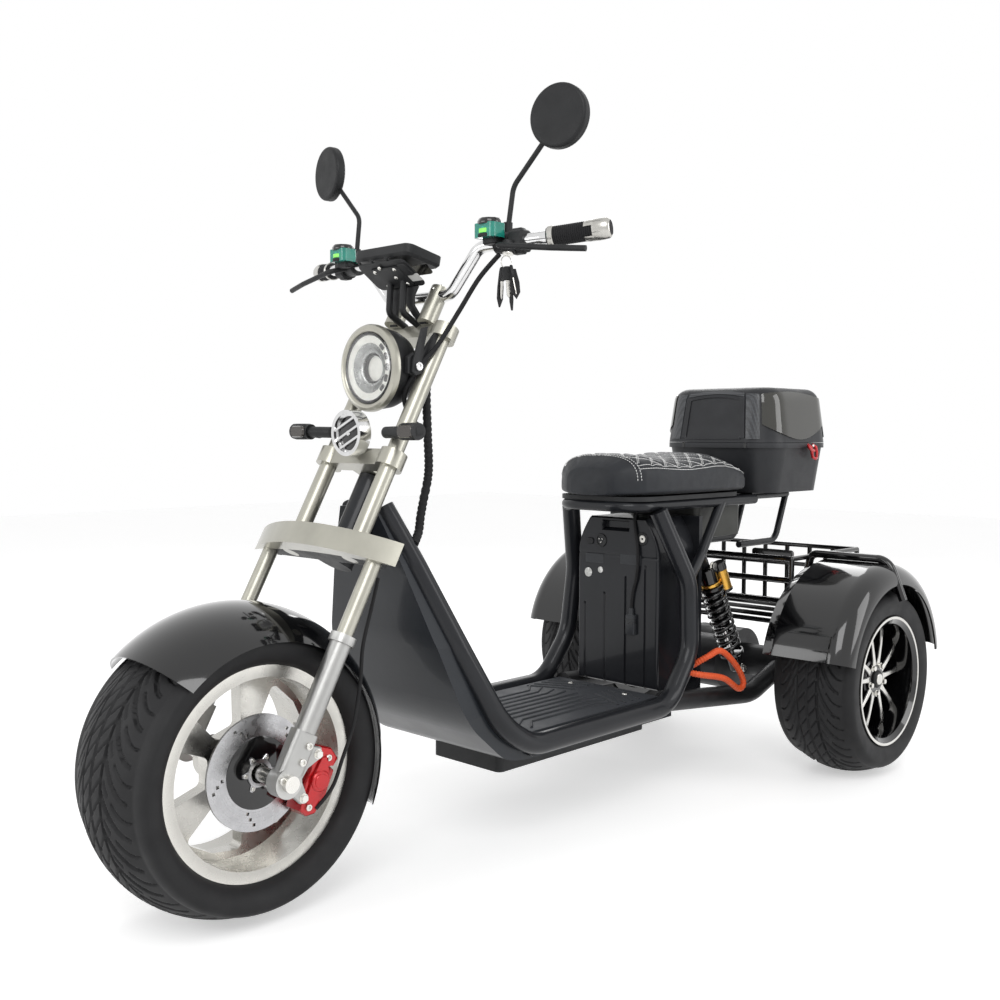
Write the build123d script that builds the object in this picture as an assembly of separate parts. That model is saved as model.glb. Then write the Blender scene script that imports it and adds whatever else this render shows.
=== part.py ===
from build123d import *
from math import cos, sin, radians
import os

# Motorized trike with two rear wheels, raked fork, solo seat, top box and rear basket.
# The drawing frame has +X forward, +Y to the rider's left and +Z up, in millimetres.
# Its zero is on the floor under the rear axle; the last step moves it to the middle.

# Wheels
WHEELBASE = 1430.0
FRONT_TYRE_R = 239.0
FRONT_TYRE_W = 216.0
FRONT_FLANGE_R = 170.0
FRONT_RIM_W = 164.0
REAR_TYRE_R = 216.0
REAR_TYRE_W = 192.0
REAR_FLANGE_R = 145.0
REAR_RIM_W = 180.0
REAR_WHEEL_Y = 349.0
BEAD_DROP = 12.0
RIM_WALL = 7.0
FLANGE_T = 6.0
FRONT_AXLE_R = 8.0
REAR_AXLE_R = 14.0

# Fits
RUN_FIT = 0.05
SEAT_GAP = 0.3

# Fork
RAKE = 29.0
FORK_TUBE_Y = 82.0
FORK_TUBE_R = 15.0
STANCHION_Y = 143.0
STANCHION_R = 13.5
LEG_R = 17.5
STEM_BACK = 40.0
STEM_R = 14.0
HEAD_TUBE_R = 24.0
LOWER_CLAMP_W = 381.0
LOWER_CLAMP_T = 28.0
MID_CLAMP_W = 553.0
MID_CLAMP_T = 30.0
TOP_CLAMP_W = 807.0
TOP_CLAMP_T = 26.0
SEAL_W = 240.0
CASTING_W = 80.0
COVER_REACH = 195.0

# Handlebar
BAR_R = 11.0
RISER_Y = 45.0
BAR_X = 1020.0
BAR_Z = 1014.0
GRIP_START = (1000.0, 277.0, 1094.0)
GRIP_END = (955.0, 381.0, 1104.0)
GRIP_R = 16.0
MIRROR_R = 53.0
MIRROR_Y = 307.0
MIRROR_Z = 1291.0

# Lamps and horn
HEADLIGHT_X = 1149.0
HEADLIGHT_Z = 883.0
HEADLIGHT_R = 77.0
HORN_R = 40.0
HORN_X = 1195.0
HORN_Z = 769.0

# Body
FLOOR_Z = 205.0
SIDE_TUBE_R = 20.0
SIDE_TUBE_Y = 176.0
TRAY_FRONT_X = 905.0
TRAY_REAR_X = 450.0
TRAY_HALF_W = 92.0
TRAY_Z = 128.0
BATTERY_HALF_W = 112.0
BATTERY_FRONT_X = 427.0
BATTERY_DEPTH = 128.0
BATTERY_TOP_Z = 584.0

# Seat
SEAT_NOSE_X = 530.0
SEAT_REAR_X = 84.0
SEAT_HALF_W = 135.0
SEAT_PAN_T = 10.0
RAIL_R = 11.0
RAIL_Z = 614.0
SEAT_HINGE_X = 519.0
SEAT_Z = RAIL_Z + RAIL_R + SEAT_GAP + SEAT_PAN_T

# Top box
BOX_FRONT_X = 61.0
BOX_REAR_X = -249.0
BOX_HALF_W = 164.0
BOX_CORNER_R = 78.0
BOX_Z = 628.0
BOX_RIM_Z = 748.0
BOX_TOP_Z = 882.0
BOX_WALL = 4.0

# Rear end
FENDER_R = 254.0
FENDER_T = 4.0
FENDER_IN_Y = 250.0
FENDER_OUT_Y = 456.0
FENDER_RISE = 10.0
FENDER_FROM = 14.0
FENDER_TO = 170.0
HOOP_R = 9.0
BASKET_FRONT_X = 70.0
BASKET_REAR_X = -252.0
BASKET_HALF_W = 228.0
BASKET_Z = 330.0
BASKET_TOP_Z = 480.0
BASKET_ROD_R = 6.0
BASKET_RAIL_COUNT = 4
BASKET_POST_COUNT = 5
HOUSING_R = 38.0
SWING_ARM_Y = 170.0
SWING_ARM_R = 22.0

# Middle of the whole machine, from the front tyre's tread to the basket's rear rail
FRONT_END_X = WHEELBASE + FRONT_TYRE_R
REAR_END_X = BASKET_REAR_X - BASKET_ROD_R
MID_X = (FRONT_END_X + REAR_END_X) / 2

# Frame of the fork: x ahead of the tubes, y left, z up along the tubes, zero on the axle
FORK = Plane(
    origin=(WHEELBASE, 0, FRONT_TYRE_R),
    x_dir=(cos(radians(RAKE)), 0, sin(radians(RAKE))),
    z_dir=(-sin(radians(RAKE)), 0, cos(radians(RAKE))),
)


def on_fork(shape):
    """Place a shape drawn in the fork's frame."""
    return FORK.location * shape


def both_sides(shape):
    """A left piece together with its mirror image on the right."""
    return shape + mirror(shape, about=Plane.XZ)


def rod(start, end, radius):
    """Round bar from one point to another."""
    line = Line(start, end)
    return sweep(Plane(origin=line @ 0, z_dir=line % 0) * Circle(radius), path=line)


def bent_rod(points, radius, bends):
    """Round bar along straight runs joined by tangent arcs."""
    path = FilletPolyline(*points, radius=bends)
    return sweep(Plane(origin=path @ 0, z_dir=path % 0) * Circle(radius), path=path)


def barrel_y(radius, y_from, y_to, x=0.0, z=0.0):
    """Cylinder along Y between two places."""
    length = y_to - y_from
    middle = (y_from + y_to) / 2
    return Pos(x, middle, z) * Rot(90, 0, 0) * Cylinder(radius, length)


def block(x_from, x_to, y_from, y_to, z_from, z_to):
    """Box between six named faces."""
    size = (x_to - x_from, y_to - y_from, z_to - z_from)
    centre = ((x_from + x_to) / 2, (y_from + y_to) / 2, (z_from + z_to) / 2)
    return Pos(*centre) * Box(*size)


def spin_y(profile):
    """Turn a profile of (y, radius) about the Y axis."""
    return revolve(Plane.YZ * profile, axis=Axis.Y)


# Wheels

def tyre(radius, width, flange_r, rim_w):
    """Tyre ring whose beads sit between the rim's flanges."""
    half = width / 2
    bead_half = rim_w / 2 - FLANGE_T - RUN_FIT
    seat_r = flange_r - BEAD_DROP
    shoulder_half = 0.78 * half
    shoulder_r = radius - 0.09 * radius
    bulge_r = (radius + flange_r) / 2
    edge = Polyline((-bead_half, flange_r), (-bead_half, seat_r), (bead_half, seat_r), (bead_half, flange_r))
    crown = ThreePointArc((shoulder_half, shoulder_r), (0, radius), (-shoulder_half, shoulder_r))
    sides = []
    for side in (-1, 1):
        widest = (side * half, bulge_r)
        sides.append(TangentArc(widest, (side * bead_half, flange_r), tangent=(0, -1)))
        sides.append(TangentArc(widest, (side * shoulder_half, shoulder_r), tangent=(0, 1)))
    return spin_y(make_face(edge + crown + sides))


def rim_barrel(flange_r, rim_w):
    """Barrel with a flange on each side, open in the middle."""
    half = rim_w / 2
    seat_r = flange_r - BEAD_DROP - RUN_FIT
    inner_r = seat_r - RIM_WALL
    ring = barrel_y(seat_r, -half, half)
    for side in (-1, 1):
        edge = sorted((side * half, side * (half - FLANGE_T)))
        ring += barrel_y(flange_r, *edge)
    return ring - barrel_y(inner_r, -half - 1, half + 1)


def spoke_disc(inner_r, outer_r, count, y_hub, y_rim, thickness, open_from, open_to, share, corner):
    """Dished disc from hub to barrel with rounded windows, leaving the spokes."""
    dish = make_face(Polyline(
        (y_hub - thickness / 2, inner_r), (y_hub + thickness / 2, inner_r),
        (y_rim + thickness / 2, outer_r), (y_rim - thickness / 2, outer_r), close=True))
    disc = spin_y(dish)
    half_angle = 180.0 / count * share
    low = 2 * open_from * sin(radians(half_angle))
    high = 2 * open_to * sin(radians(half_angle))
    mid = open_to * cos(radians(half_angle))
    near = open_from * cos(radians(half_angle))
    window = make_face(Polyline((near, -low / 2), (near, low / 2), (mid, high / 2),
                                (open_to, 0), (mid, -high / 2), close=True))
    window = fillet(window.vertices(), corner)
    for k in range(count):
        cutter = extrude(window, amount=200, both=True)
        disc -= Rot(0, 360.0 / count * k, 0) * Rot(90, 0, 0) * cutter
    return disc


FRONT_HUB_R = 36.0
FRONT_HUB_HALF = 58.0
FRONT_SPOKE_T = 26.0
FRONT_SPOKES = 5
DISC_R = 92.0
DISC_Y = 72.0
DISC_T = 4.0
CARRIER_R = 58.0


def front_rim():
    """Cast wheel with five broad spokes and a through bore."""
    inner_r = FRONT_FLANGE_R - BEAD_DROP - RUN_FIT - RIM_WALL
    wheel = rim_barrel(FRONT_FLANGE_R, FRONT_RIM_W)
    wheel += spoke_disc(FRONT_HUB_R - 4, inner_r + 3, FRONT_SPOKES, 12, -6, FRONT_SPOKE_T,
                        FRONT_HUB_R + 26, inner_r - 10, 0.62, 10)
    wheel += barrel_y(FRONT_HUB_R, -FRONT_HUB_HALF, FRONT_HUB_HALF)
    return wheel - barrel_y(FRONT_AXLE_R + RUN_FIT, -FRONT_HUB_HALF - 1, FRONT_HUB_HALF + 1)


def front_disc():
    """Brake disc on its carrier, on the left side of the hub."""
    carrier = barrel_y(CARRIER_R, FRONT_HUB_HALF, DISC_Y)
    ring = barrel_y(DISC_R, DISC_Y - DISC_T / 2, DISC_Y + DISC_T / 2)
    plate = carrier + ring
    return plate - barrel_y(FRONT_AXLE_R + 6, FRONT_HUB_HALF - 1, DISC_Y + DISC_T)


REAR_HUB_R = 32.0
REAR_SPOKES = 8
REAR_DISH = 34.0


def rear_rim():
    """Deep dished rear wheel, drawn as the left one about its own centre."""
    half = REAR_RIM_W / 2
    inner_r = REAR_FLANGE_R - BEAD_DROP - RUN_FIT - RIM_WALL
    wheel = rim_barrel(REAR_FLANGE_R, REAR_RIM_W)
    wheel += spoke_disc(REAR_HUB_R - 4, inner_r + 3, REAR_SPOKES, half - REAR_DISH - 14, half - REAR_DISH,
                        16, REAR_HUB_R + 10, inner_r - 7, 0.72, 5)
    hub = barrel_y(REAR_HUB_R, -20, half - REAR_DISH)
    return wheel + hub - barrel_y(REAR_AXLE_R + RUN_FIT, -21, half - REAR_DISH - 8)


# Steering

CLAMP_PAD = 9.0


def clamp_plate(w_middle, thickness, ears_y, ear_r, tube_r, depth, holes_y):
    """Flat clamp with a round ear at each tube and the stem's bore behind."""
    plate = Pos(-depth / 2 + 14, 0, w_middle) * Box(depth, 2 * ears_y, thickness)
    for side in (-1, 1):
        plate += Pos(0, side * ears_y, w_middle) * Cylinder(ear_r, thickness)
        for y in holes_y:
            plate -= Pos(0, side * y, w_middle) * Cylinder(tube_r + RUN_FIT, thickness + 2)
    return plate


def upper_tubes():
    """Two upper fork tubes from the lower clamp to the top clamp."""
    low = LOWER_CLAMP_W - LOWER_CLAMP_T / 2
    high = TOP_CLAMP_W + TOP_CLAMP_T / 2
    tube = Pos(0, FORK_TUBE_Y, (low + high) / 2) * Cylinder(FORK_TUBE_R, high - low)
    return on_fork(both_sides(tube))


def top_clamp():
    """Top clamp, whose plate carries the risers and the display."""
    plate = clamp_plate(TOP_CLAMP_W, TOP_CLAMP_T, FORK_TUBE_Y, FORK_TUBE_R + CLAMP_PAD,
                        FORK_TUBE_R, 34, (FORK_TUBE_Y,))
    return on_fork(plate)


def mid_clamp():
    """Middle clamp over the head tube, with the stem's upper end."""
    plate = clamp_plate(MID_CLAMP_W, MID_CLAMP_T, FORK_TUBE_Y, FORK_TUBE_R + CLAMP_PAD,
                        FORK_TUBE_R, 28, (FORK_TUBE_Y,))
    boss = Pos(-STEM_BACK, 0, MID_CLAMP_W) * Cylinder(HEAD_TUBE_R + 4, MID_CLAMP_T)
    web = Pos(-STEM_BACK / 2, 0, MID_CLAMP_W) * Box(STEM_BACK, 2 * HEAD_TUBE_R + 8, MID_CLAMP_T)
    bore = Pos(-STEM_BACK, 0, MID_CLAMP_W) * Cylinder(STEM_R + RUN_FIT, MID_CLAMP_T + 2)
    return on_fork(plate + boss + web - bore)


def lower_clamp():
    """Lower clamp, which holds the upper tubes and the legs, with its steering stem."""
    w = LOWER_CLAMP_W
    t = LOWER_CLAMP_T
    plate = Pos(0, 0, w) * Box(40, 2 * STANCHION_Y, t)
    plate += Pos(-STEM_BACK / 2, 0, w) * Box(STEM_BACK, 2 * HEAD_TUBE_R + 8, t)
    plate += Pos(-STEM_BACK, 0, w) * Cylinder(HEAD_TUBE_R + 4, t)
    for side in (-1, 1):
        plate += Pos(0, side * STANCHION_Y, w) * Cylinder(STANCHION_R + CLAMP_PAD, t)
    for side in (-1, 1):
        plate -= Pos(0, side * FORK_TUBE_Y, w) * Cylinder(FORK_TUBE_R + RUN_FIT, t + 2)
        plate -= Pos(0, side * STANCHION_Y, w) * Cylinder(STANCHION_R + RUN_FIT, t + 2)
    high = MID_CLAMP_W + MID_CLAMP_T / 2
    plate += Pos(-STEM_BACK, 0, (w + high) / 2) * Cylinder(STEM_R, high - w)
    return on_fork(plate)


COVER_H = 40.0
COVER_BULGE = 34.0


def fork_cover():
    """Crescent cover, a bowed band with a lid, in front of the lower clamp."""
    w = LOWER_CLAMP_W + 4
    reach = COVER_REACH
    front = ThreePointArc((-2, -reach), (COVER_BULGE + 22, 0), (-2, reach))
    back = ThreePointArc((-2, reach), (COVER_BULGE - 12, 0), (-2, -reach))
    crescent = make_face(front + back)
    solid = Pos(0, 0, w - COVER_H / 2) * extrude(crescent, amount=COVER_H)
    return on_fork(solid)


def stanchions():
    """Two inner fork tubes from the lower clamp down into the legs."""
    high = LOWER_CLAMP_W + LOWER_CLAMP_T / 2
    low = SEAL_W - 60
    tube = Pos(0, STANCHION_Y, (low + high) / 2) * Cylinder(STANCHION_R, high - low)
    return on_fork(both_sides(tube))


LEG_LUG_W = 196.0


def lower_legs():
    """Two cast lower legs with seal collars, fender lugs and axle ends."""
    leg = Pos(0, STANCHION_Y, (CASTING_W + SEAL_W) / 2) * Cylinder(LEG_R, SEAL_W - CASTING_W)
    leg += Pos(0, STANCHION_Y, SEAL_W - 7) * Cylinder(LEG_R + 4, 14)
    casting = Pos(0, STANCHION_Y, CASTING_W / 2) * Box(44, 26, CASTING_W)
    casting = fillet(casting.edges().filter_by(Axis.Z), 8)
    leg += casting
    leg += Pos(0, STANCHION_Y, 0) * Rot(90, 0, 0) * Cylinder(24, 26)
    leg += Pos(-12, STANCHION_Y - 14, LEG_LUG_W) * Box(20, 22, 24)
    bore_low = SEAL_W - 60
    leg -= Pos(0, STANCHION_Y, (bore_low + SEAL_W) / 2) * Cylinder(STANCHION_R + RUN_FIT, SEAL_W - bore_low)
    leg -= Pos(0, STANCHION_Y, 0) * Rot(90, 0, 0) * Cylinder(FRONT_AXLE_R + RUN_FIT, 60)
    return on_fork(both_sides(leg))


def front_axle():
    """Front axle with its spacers and end nuts."""
    inner = STANCHION_Y - 13
    outer = STANCHION_Y + 13
    pin = barrel_y(FRONT_AXLE_R, -outer, outer)
    for side in (-1, 1):
        spacer = sorted((side * (DISC_Y + DISC_T), side * inner))
        nut = sorted((side * outer, side * (outer + 9)))
        pin += barrel_y(FRONT_AXLE_R + 4, *spacer)
        pin += barrel_y(13, *nut)
    return Pos(WHEELBASE, 0, FRONT_TYRE_R) * pin


CALIPER_R = 100.0


def caliper():
    """Brake caliper behind the left leg, straddling the disc."""
    body = block(-CALIPER_R - 26, -CALIPER_R + 22, 56, 112, -44, 14)
    body = fillet(body.edges().filter_by(Axis.Y), 9)
    gap = block(-CALIPER_R - 1, -CALIPER_R + 30, DISC_Y - 5, DISC_Y + 5, -60, 30)
    body -= gap
    arm = block(-CALIPER_R - 6, -20, 112, STANCHION_Y - 13, -30, 4)
    return Pos(WHEELBASE, 0, FRONT_TYRE_R) * (body + arm)


FRONT_FENDER_R = 262.0
FRONT_FENDER_HALF = 122.0
FRONT_FENDER_DROP = 52.0
FRONT_FENDER_T = 3.0
FRONT_FENDER_FROM = 48.0
FRONT_FENDER_TO = 204.0


def front_fender():
    """Arched front fender with rounded shoulders, and its stays to the legs."""
    r = FRONT_FENDER_R
    half = FRONT_FENDER_HALF
    outer = ThreePointArc((half, r - FRONT_FENDER_DROP), (0, r), (-half, r - FRONT_FENDER_DROP))
    inner = ThreePointArc((-half + FRONT_FENDER_T, r - FRONT_FENDER_DROP), (0, r - FRONT_FENDER_T),
                          (half - FRONT_FENDER_T, r - FRONT_FENDER_DROP))
    ends = Line(outer @ 1, inner @ 0) + Line(inner @ 1, outer @ 0)
    arch = revolve(Plane.YZ * make_face(outer + inner + ends), axis=Axis.Y,
                   revolution_arc=FRONT_FENDER_TO - FRONT_FENDER_FROM)
    return Pos(WHEELBASE, 0, FRONT_TYRE_R) * Rot(0, 90 - FRONT_FENDER_TO, 0) * arch


# Controls and lamps

def toward(start, end, distance):
    """Point at a distance from start on the way to end."""
    a = Vector(*start)
    b = Vector(*end)
    return tuple(a + (b - a).normalized() * distance)


def flip(points):
    """The same points on the other side of the machine, in reverse order."""
    return [(x, -y, z) for x, y, z in reversed(points)]


BAR_BEND = 38.0
GRIP_INSET = 14.0


def handlebar():
    """Bent handlebar tube, straight between the risers."""
    left = [(BAR_X, 80, BAR_Z), (BAR_X, 152, BAR_Z + 77), GRIP_START, GRIP_END]
    points = flip(left) + left
    return bent_rod(points, BAR_R, [BAR_BEND] * (len(points) - 2))


RISER_R = 17.0
RISER_TOP = 16.0


def risers():
    """Two risers from the top clamp, clamped round the handlebar."""
    top = FORK.to_local_coords(Vector(BAR_X, RISER_Y, BAR_Z))
    low = TOP_CLAMP_W + TOP_CLAMP_T / 2
    high = top.Z + RISER_TOP
    post = Pos(top.X, RISER_Y, (low + high) / 2) * Cylinder(RISER_R, high - low)
    post -= Pos(top.X, RISER_Y, top.Z) * Rot(90, 0, 0) * Cylinder(BAR_R + RUN_FIT, 4 * RISER_R)
    return on_fork(both_sides(post))


def grips():
    """Rubber grips over the handlebar's ends."""
    start = toward(GRIP_START, GRIP_END, GRIP_INSET)
    end = toward(GRIP_END, GRIP_START, 2)
    sleeve = rod(start, end, GRIP_R) - rod(start, end, BAR_R + RUN_FIT)
    return both_sides(sleeve)


PERCH_Y = 204.0
LEVER_R = 5.0


def levers():
    """Clutchless brake levers on their perches, ahead of the grips."""
    perch_low = (BAR_X - 8, PERCH_Y - 16, BAR_Z + 79)
    perch_high = (BAR_X - 14, PERCH_Y + 18, BAR_Z + 80)
    perch = rod(perch_low, perch_high, BAR_R + 7)
    blade = bent_rod([(1012, 204, 1092), (1052, 226, 1082), (1040, 330, 1068), (1022, 392, 1062)],
                     LEVER_R, [16, 40])
    return both_sides(perch + blade)


def reservoirs():
    """Brake fluid reservoirs above the perches."""
    cup = Pos(BAR_X + 22, PERCH_Y - 6, BAR_Z + 96) * Box(34, 46, 24)
    return both_sides(fillet(cup.edges().filter_by(Axis.Z), 7))


MIRROR_T = 14.0
MIRROR_STALK_R = 4.5
MIRROR_TOE = 12.0


def mirrors():
    """Two round mirrors on bent stalks."""
    head = Rot(0, 90, 0) * Cylinder(MIRROR_R, MIRROR_T)
    head = fillet(head.faces().sort_by(Axis.X)[-1].edges(), 6)
    head = Pos(991, MIRROR_Y, MIRROR_Z) * Rot(0, 0, MIRROR_TOE) * head
    stalk = bent_rod([(1004, PERCH_Y, 1112), (993, PERCH_Y + 3, 1190), (988, MIRROR_Y - 18, MIRROR_Z - 20)],
                     MIRROR_STALK_R, [30])
    foot = rod((1004, PERCH_Y, 1108), (1003, PERCH_Y, 1128), 8)
    return both_sides(head + stalk + foot)


DISPLAY_TILT = 12.0


def display():
    """Instrument housing ahead of the handlebar."""
    case = Box(85, 150, 20)
    case = fillet(case.edges().filter_by(Axis.Z), 14)
    case = chamfer(case.faces().sort_by(Axis.Z)[0].edges(), 5)
    return Pos(1075, 0, 1078) * Rot(0, -DISPLAY_TILT, 0) * case


def display_bracket():
    """Two bent struts from the top clamp up to the instrument housing."""
    strut = bent_rod([(1040, 18, 962), (1080, 18, 984), (1074, 18, 1074)], 6, [14])
    return both_sides(strut)


def headlight_bowl():
    """Rounded lamp bowl with its ears to the fork tubes."""
    low = (Align.CENTER, Align.CENTER, Align.MIN)
    bowl = Rot(0, -90, 0) * Cylinder(HEADLIGHT_R - 6, 20, align=low)
    bowl += Pos(-20, 0, 0) * Rot(0, -90, 0) * Cone(HEADLIGHT_R - 6, 38, 68, align=low)
    bowl = fillet(bowl.faces().sort_by(Axis.X)[0].edges(), 20)
    ear = block(-40, -26, 58, 84, -10, 16)
    return Pos(HEADLIGHT_X - 14, 0, HEADLIGHT_Z) * (bowl + both_sides(ear))


def headlight_lens():
    """Bezel ring and lens at the front of the lamp."""
    profile = make_face(
        Polyline((-14, HEADLIGHT_R - 10), (-14, HEADLIGHT_R), (-4, HEADLIGHT_R))
        + ThreePointArc((-4, HEADLIGHT_R), (-1, HEADLIGHT_R - 4), (-2, HEADLIGHT_R - 12))
        + Polyline((-2, HEADLIGHT_R - 12), (-8, HEADLIGHT_R - 16), (-8, 0), (-14, 0), (-14, HEADLIGHT_R - 10)))
    return Pos(HEADLIGHT_X, 0, HEADLIGHT_Z) * revolve(profile, axis=Axis.X)


def horn():
    """Round horn with a slanted grille, on a stalk from the middle clamp."""
    dish = Pos(-12, 0, 0) * Rot(0, 90, 0) * Cylinder(HORN_R, 24)
    dish -= Pos(-3, 0, 0) * Rot(0, 90, 0) * Cylinder(HORN_R - 7, 10)
    for k in (-1, 0, 1):
        dish += Pos(-4, 0, 0) * Rot(24, 0, 0) * Pos(0, 0, 17 * k) * Box(4, 2 * HORN_R - 12, 4)
    stalk = block(-40, -20, -9, 9, -26, 8)
    return Pos(HORN_X, 0, HORN_Z) * (dish + stalk)


def turn_signals():
    """Four-sided stalk lamps on the fork tubes, level with the horn."""
    root = (1166, FORK_TUBE_Y - 8, 770)
    body = rod(root, (1176, 138, 771), 10)
    body += rod((1174, 126, 771), (1178, 170, 772), 14)
    body += rod((1138, FORK_TUBE_Y, 762), (1168, FORK_TUBE_Y, 770), 7)
    return both_sides(body)


# Chassis

# Side view of the shell as (x, z): the face towards the rider, then the belly
RIDER_LINE = [(1136, 640), (1066, 410), (978, 262), (905, FLOOR_Z), (455, FLOOR_Z)]
BELLY_LINE = [(1170, 640), (1118, 410), (1062, 262), (965, 178), (905, 170), (455, 170)]
# Front view of the shell as (half width, z)
SHELL_WIDTHS = [(48, 640), (92, 545), (146, 400), (166, 270), (166, 160)]
# Left side tube: x, y, z of each corner
SIDE_TUBE = [
    (1146, 40, 640), (1114, 88, 540), (1064, 142, 400), (986, SIDE_TUBE_Y, 246), (905, SIDE_TUBE_Y, 198),
    (482, SIDE_TUBE_Y, 198), (398, 172, 300), (388, 160, 450), (448, 122, 604),
]
SIDE_TUBE_BENDS = [80, 200, 160, 120, 90, 110, 110]


def side_tube():
    """Left side tube from the neck along the floor and up to the seat."""
    return bent_rod(SIDE_TUBE, SIDE_TUBE_R, SIDE_TUBE_BENDS)


def head_tube():
    """Head tube around the steering stem, from clamp to clamp."""
    low = LOWER_CLAMP_W + LOWER_CLAMP_T / 2 + 2
    high = MID_CLAMP_W - MID_CLAMP_T / 2 - 2
    tube = Pos(-STEM_BACK, 0, (low + high) / 2) * Cylinder(HEAD_TUBE_R, high - low)
    bore = Pos(-STEM_BACK, 0, (low + high) / 2) * Cylinder(STEM_R + RUN_FIT, high - low + 2)
    return on_fork(tube), on_fork(bore)


def main_frame():
    """Welded frame: head tube, down tube, side tubes and cross tubes."""
    tube, bore = head_tube()
    down = bent_rod([(1150, 0, 640), (1096, 0, 400), (985, 0, 220), (880, 0, 190), (470, 0, 190)], 16,
                    [150, 110, 80])
    frame = tube + down + both_sides(side_tube())
    for x in (900, 480):
        frame += barrel_y(12, -SIDE_TUBE_Y, SIDE_TUBE_Y, x, 188)
    return frame - bore


def shell_solid():
    """Solid between the rider's face and the belly, tapered to the neck."""
    rider = FilletPolyline(*RIDER_LINE, radius=[160, 120, 60])
    belly = FilletPolyline(*reversed(BELLY_LINE), radius=[60, 90, 160, 200])
    ends = Line(rider @ 1, belly @ 0) + Line(belly @ 1, rider @ 0)
    side = make_face(rider + belly + ends)
    wide = max(y for y, z in SHELL_WIDTHS)
    solid = extrude(Plane.XZ * side, amount=wide, both=True)
    left = [(y, z) for y, z in SHELL_WIDTHS]
    outline = left + [(-y, z) for y, z in reversed(left)]
    front = extrude(Plane.YZ * make_face(Polyline(*outline, close=True)), amount=1400)
    return solid & front


def body_shell(frame):
    """Leg shield and floor in one curved shell, seated on the frame's tubes."""
    solid = shell_solid()
    return solid - frame


MAT_T = 5.0
MAT_HALF_W = 140.0


def floor_mat():
    """Ribbed rubber mat on the floor and up the lower leg shield."""
    low = FilletPolyline((1020, 333), (978, 262), (905, FLOOR_Z), (465, FLOOR_Z), radius=[120, 60])
    high = FilletPolyline((465, FLOOR_Z + MAT_T), (903, FLOOR_Z + MAT_T), (974, 262 + 3), (1014, 333),
                          radius=[60, 120])
    ends = Line(low @ 1, high @ 0) + Line(high @ 1, low @ 0)
    return extrude(Plane.XZ * make_face(low + high + ends), amount=MAT_HALF_W, both=True)


def under_tray():
    """Flat box under the floor."""
    tray = block(TRAY_REAR_X, TRAY_FRONT_X, -TRAY_HALF_W, TRAY_HALF_W, TRAY_Z, 170)
    return fillet(tray.edges().filter_by(Axis.Z), 12)


def battery():
    """Removable battery case with ribs, a handle, a lock and a socket."""
    low = FLOOR_Z + MAT_T + SEAT_GAP
    half = BATTERY_HALF_W
    outline = Polyline((-half, low), (half, low), (half, 510), (78, BATTERY_TOP_Z), (-78, BATTERY_TOP_Z),
                       (-half, 510), close=True)
    face = fillet(make_face(outline).vertices(), 18)
    case = Pos(BATTERY_FRONT_X - BATTERY_DEPTH, 0, 0) * extrude(Plane.YZ * face, amount=BATTERY_DEPTH)
    for k in range(4):
        y = -66 + 44 * k
        case += block(BATTERY_FRONT_X, BATTERY_FRONT_X + 4, y - 6, y + 6, 250, 440)
    case -= block(BATTERY_FRONT_X - 42, BATTERY_FRONT_X + 1, -52, 52, 526, 564)
    case += Pos(BATTERY_FRONT_X - 6, 0, 545) * Rot(90, 0, 0) * Cylinder(7, 104)
    case += Pos(BATTERY_FRONT_X + 2, 74, 505) * Rot(0, 90, 0) * Cylinder(14, 8)
    case += Pos(BATTERY_FRONT_X + 2, -74, 505) * Rot(0, 90, 0) * Cylinder(10, 8)
    return case


def battery_back():
    """Sheet housing behind the battery, between the side tubes."""
    front = BATTERY_FRONT_X - BATTERY_DEPTH - SEAT_GAP
    return block(front - 12, front, -126, 126, FLOOR_Z - 24, 586)


RAIL_HALF_W = 112.0
RAIL_REAR_X = 48.0


def seat_rail():
    """Seat rail bent to a U, with cross bars and rear struts."""
    half = RAIL_HALF_W
    front = SEAT_HINGE_X
    rail = bent_rod([(RAIL_REAR_X, half, RAIL_Z), (front, half, RAIL_Z), (front, -half, RAIL_Z),
                     (RAIL_REAR_X, -half, RAIL_Z)], RAIL_R, [70, 70])
    for x in (RAIL_REAR_X + 8, 190, 380):
        rail += barrel_y(9, -half, half, x, RAIL_Z)
    knee = (300, 132, 500)
    strut = rod((190, half, RAIL_Z), knee, 11) + rod(knee, (388, 160, 452), 11) + rod(knee, SHOCK_TOP, 11)
    strut += Pos(*knee) * Sphere(11)
    return rail + both_sides(strut)


def under_seat_box():
    """Closed electrics box under the seat, between the rails."""
    case = block(60, 250, -84, 84, 530, RAIL_Z - 9)
    return fillet(case.edges().filter_by(Axis.Z), 16)


def drive_motor():
    """Drive motor and differential, one closed mass on the axle's middle."""
    gear = barrel_y(74, -62, 62, 0, REAR_TYRE_R)
    motor = barrel_y(62, -78, 78, 96, REAR_TYRE_R + 6)
    return gear + motor


def axle_housing():
    """Rear axle housing with its end plates and the swing arm to the frame."""
    housing = barrel_y(HOUSING_R, 62, 240, 0, REAR_TYRE_R)
    plate = barrel_y(66, 200, 212, 0, REAR_TYRE_R)
    arm = bent_rod([(10, SWING_ARM_Y, REAR_TYRE_R), (150, SWING_ARM_Y, 170), (452, 140, 196)],
                   SWING_ARM_R, [120])
    return both_sides(housing + plate + arm)


def rear_axle():
    """Two axle shafts that carry the rear wheels."""
    outer = REAR_WHEEL_Y + REAR_RIM_W / 2 - REAR_DISH - 9
    return both_sides(barrel_y(REAR_AXLE_R, 240, outer, 0, REAR_TYRE_R))


SHOCK_TOP = (243.0, 104.0, 470.0)
SHOCK_LOW = (150.0, 132.0, 226.0)
SPRING_R = 29.0
SPRING_TURNS = 7


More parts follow.
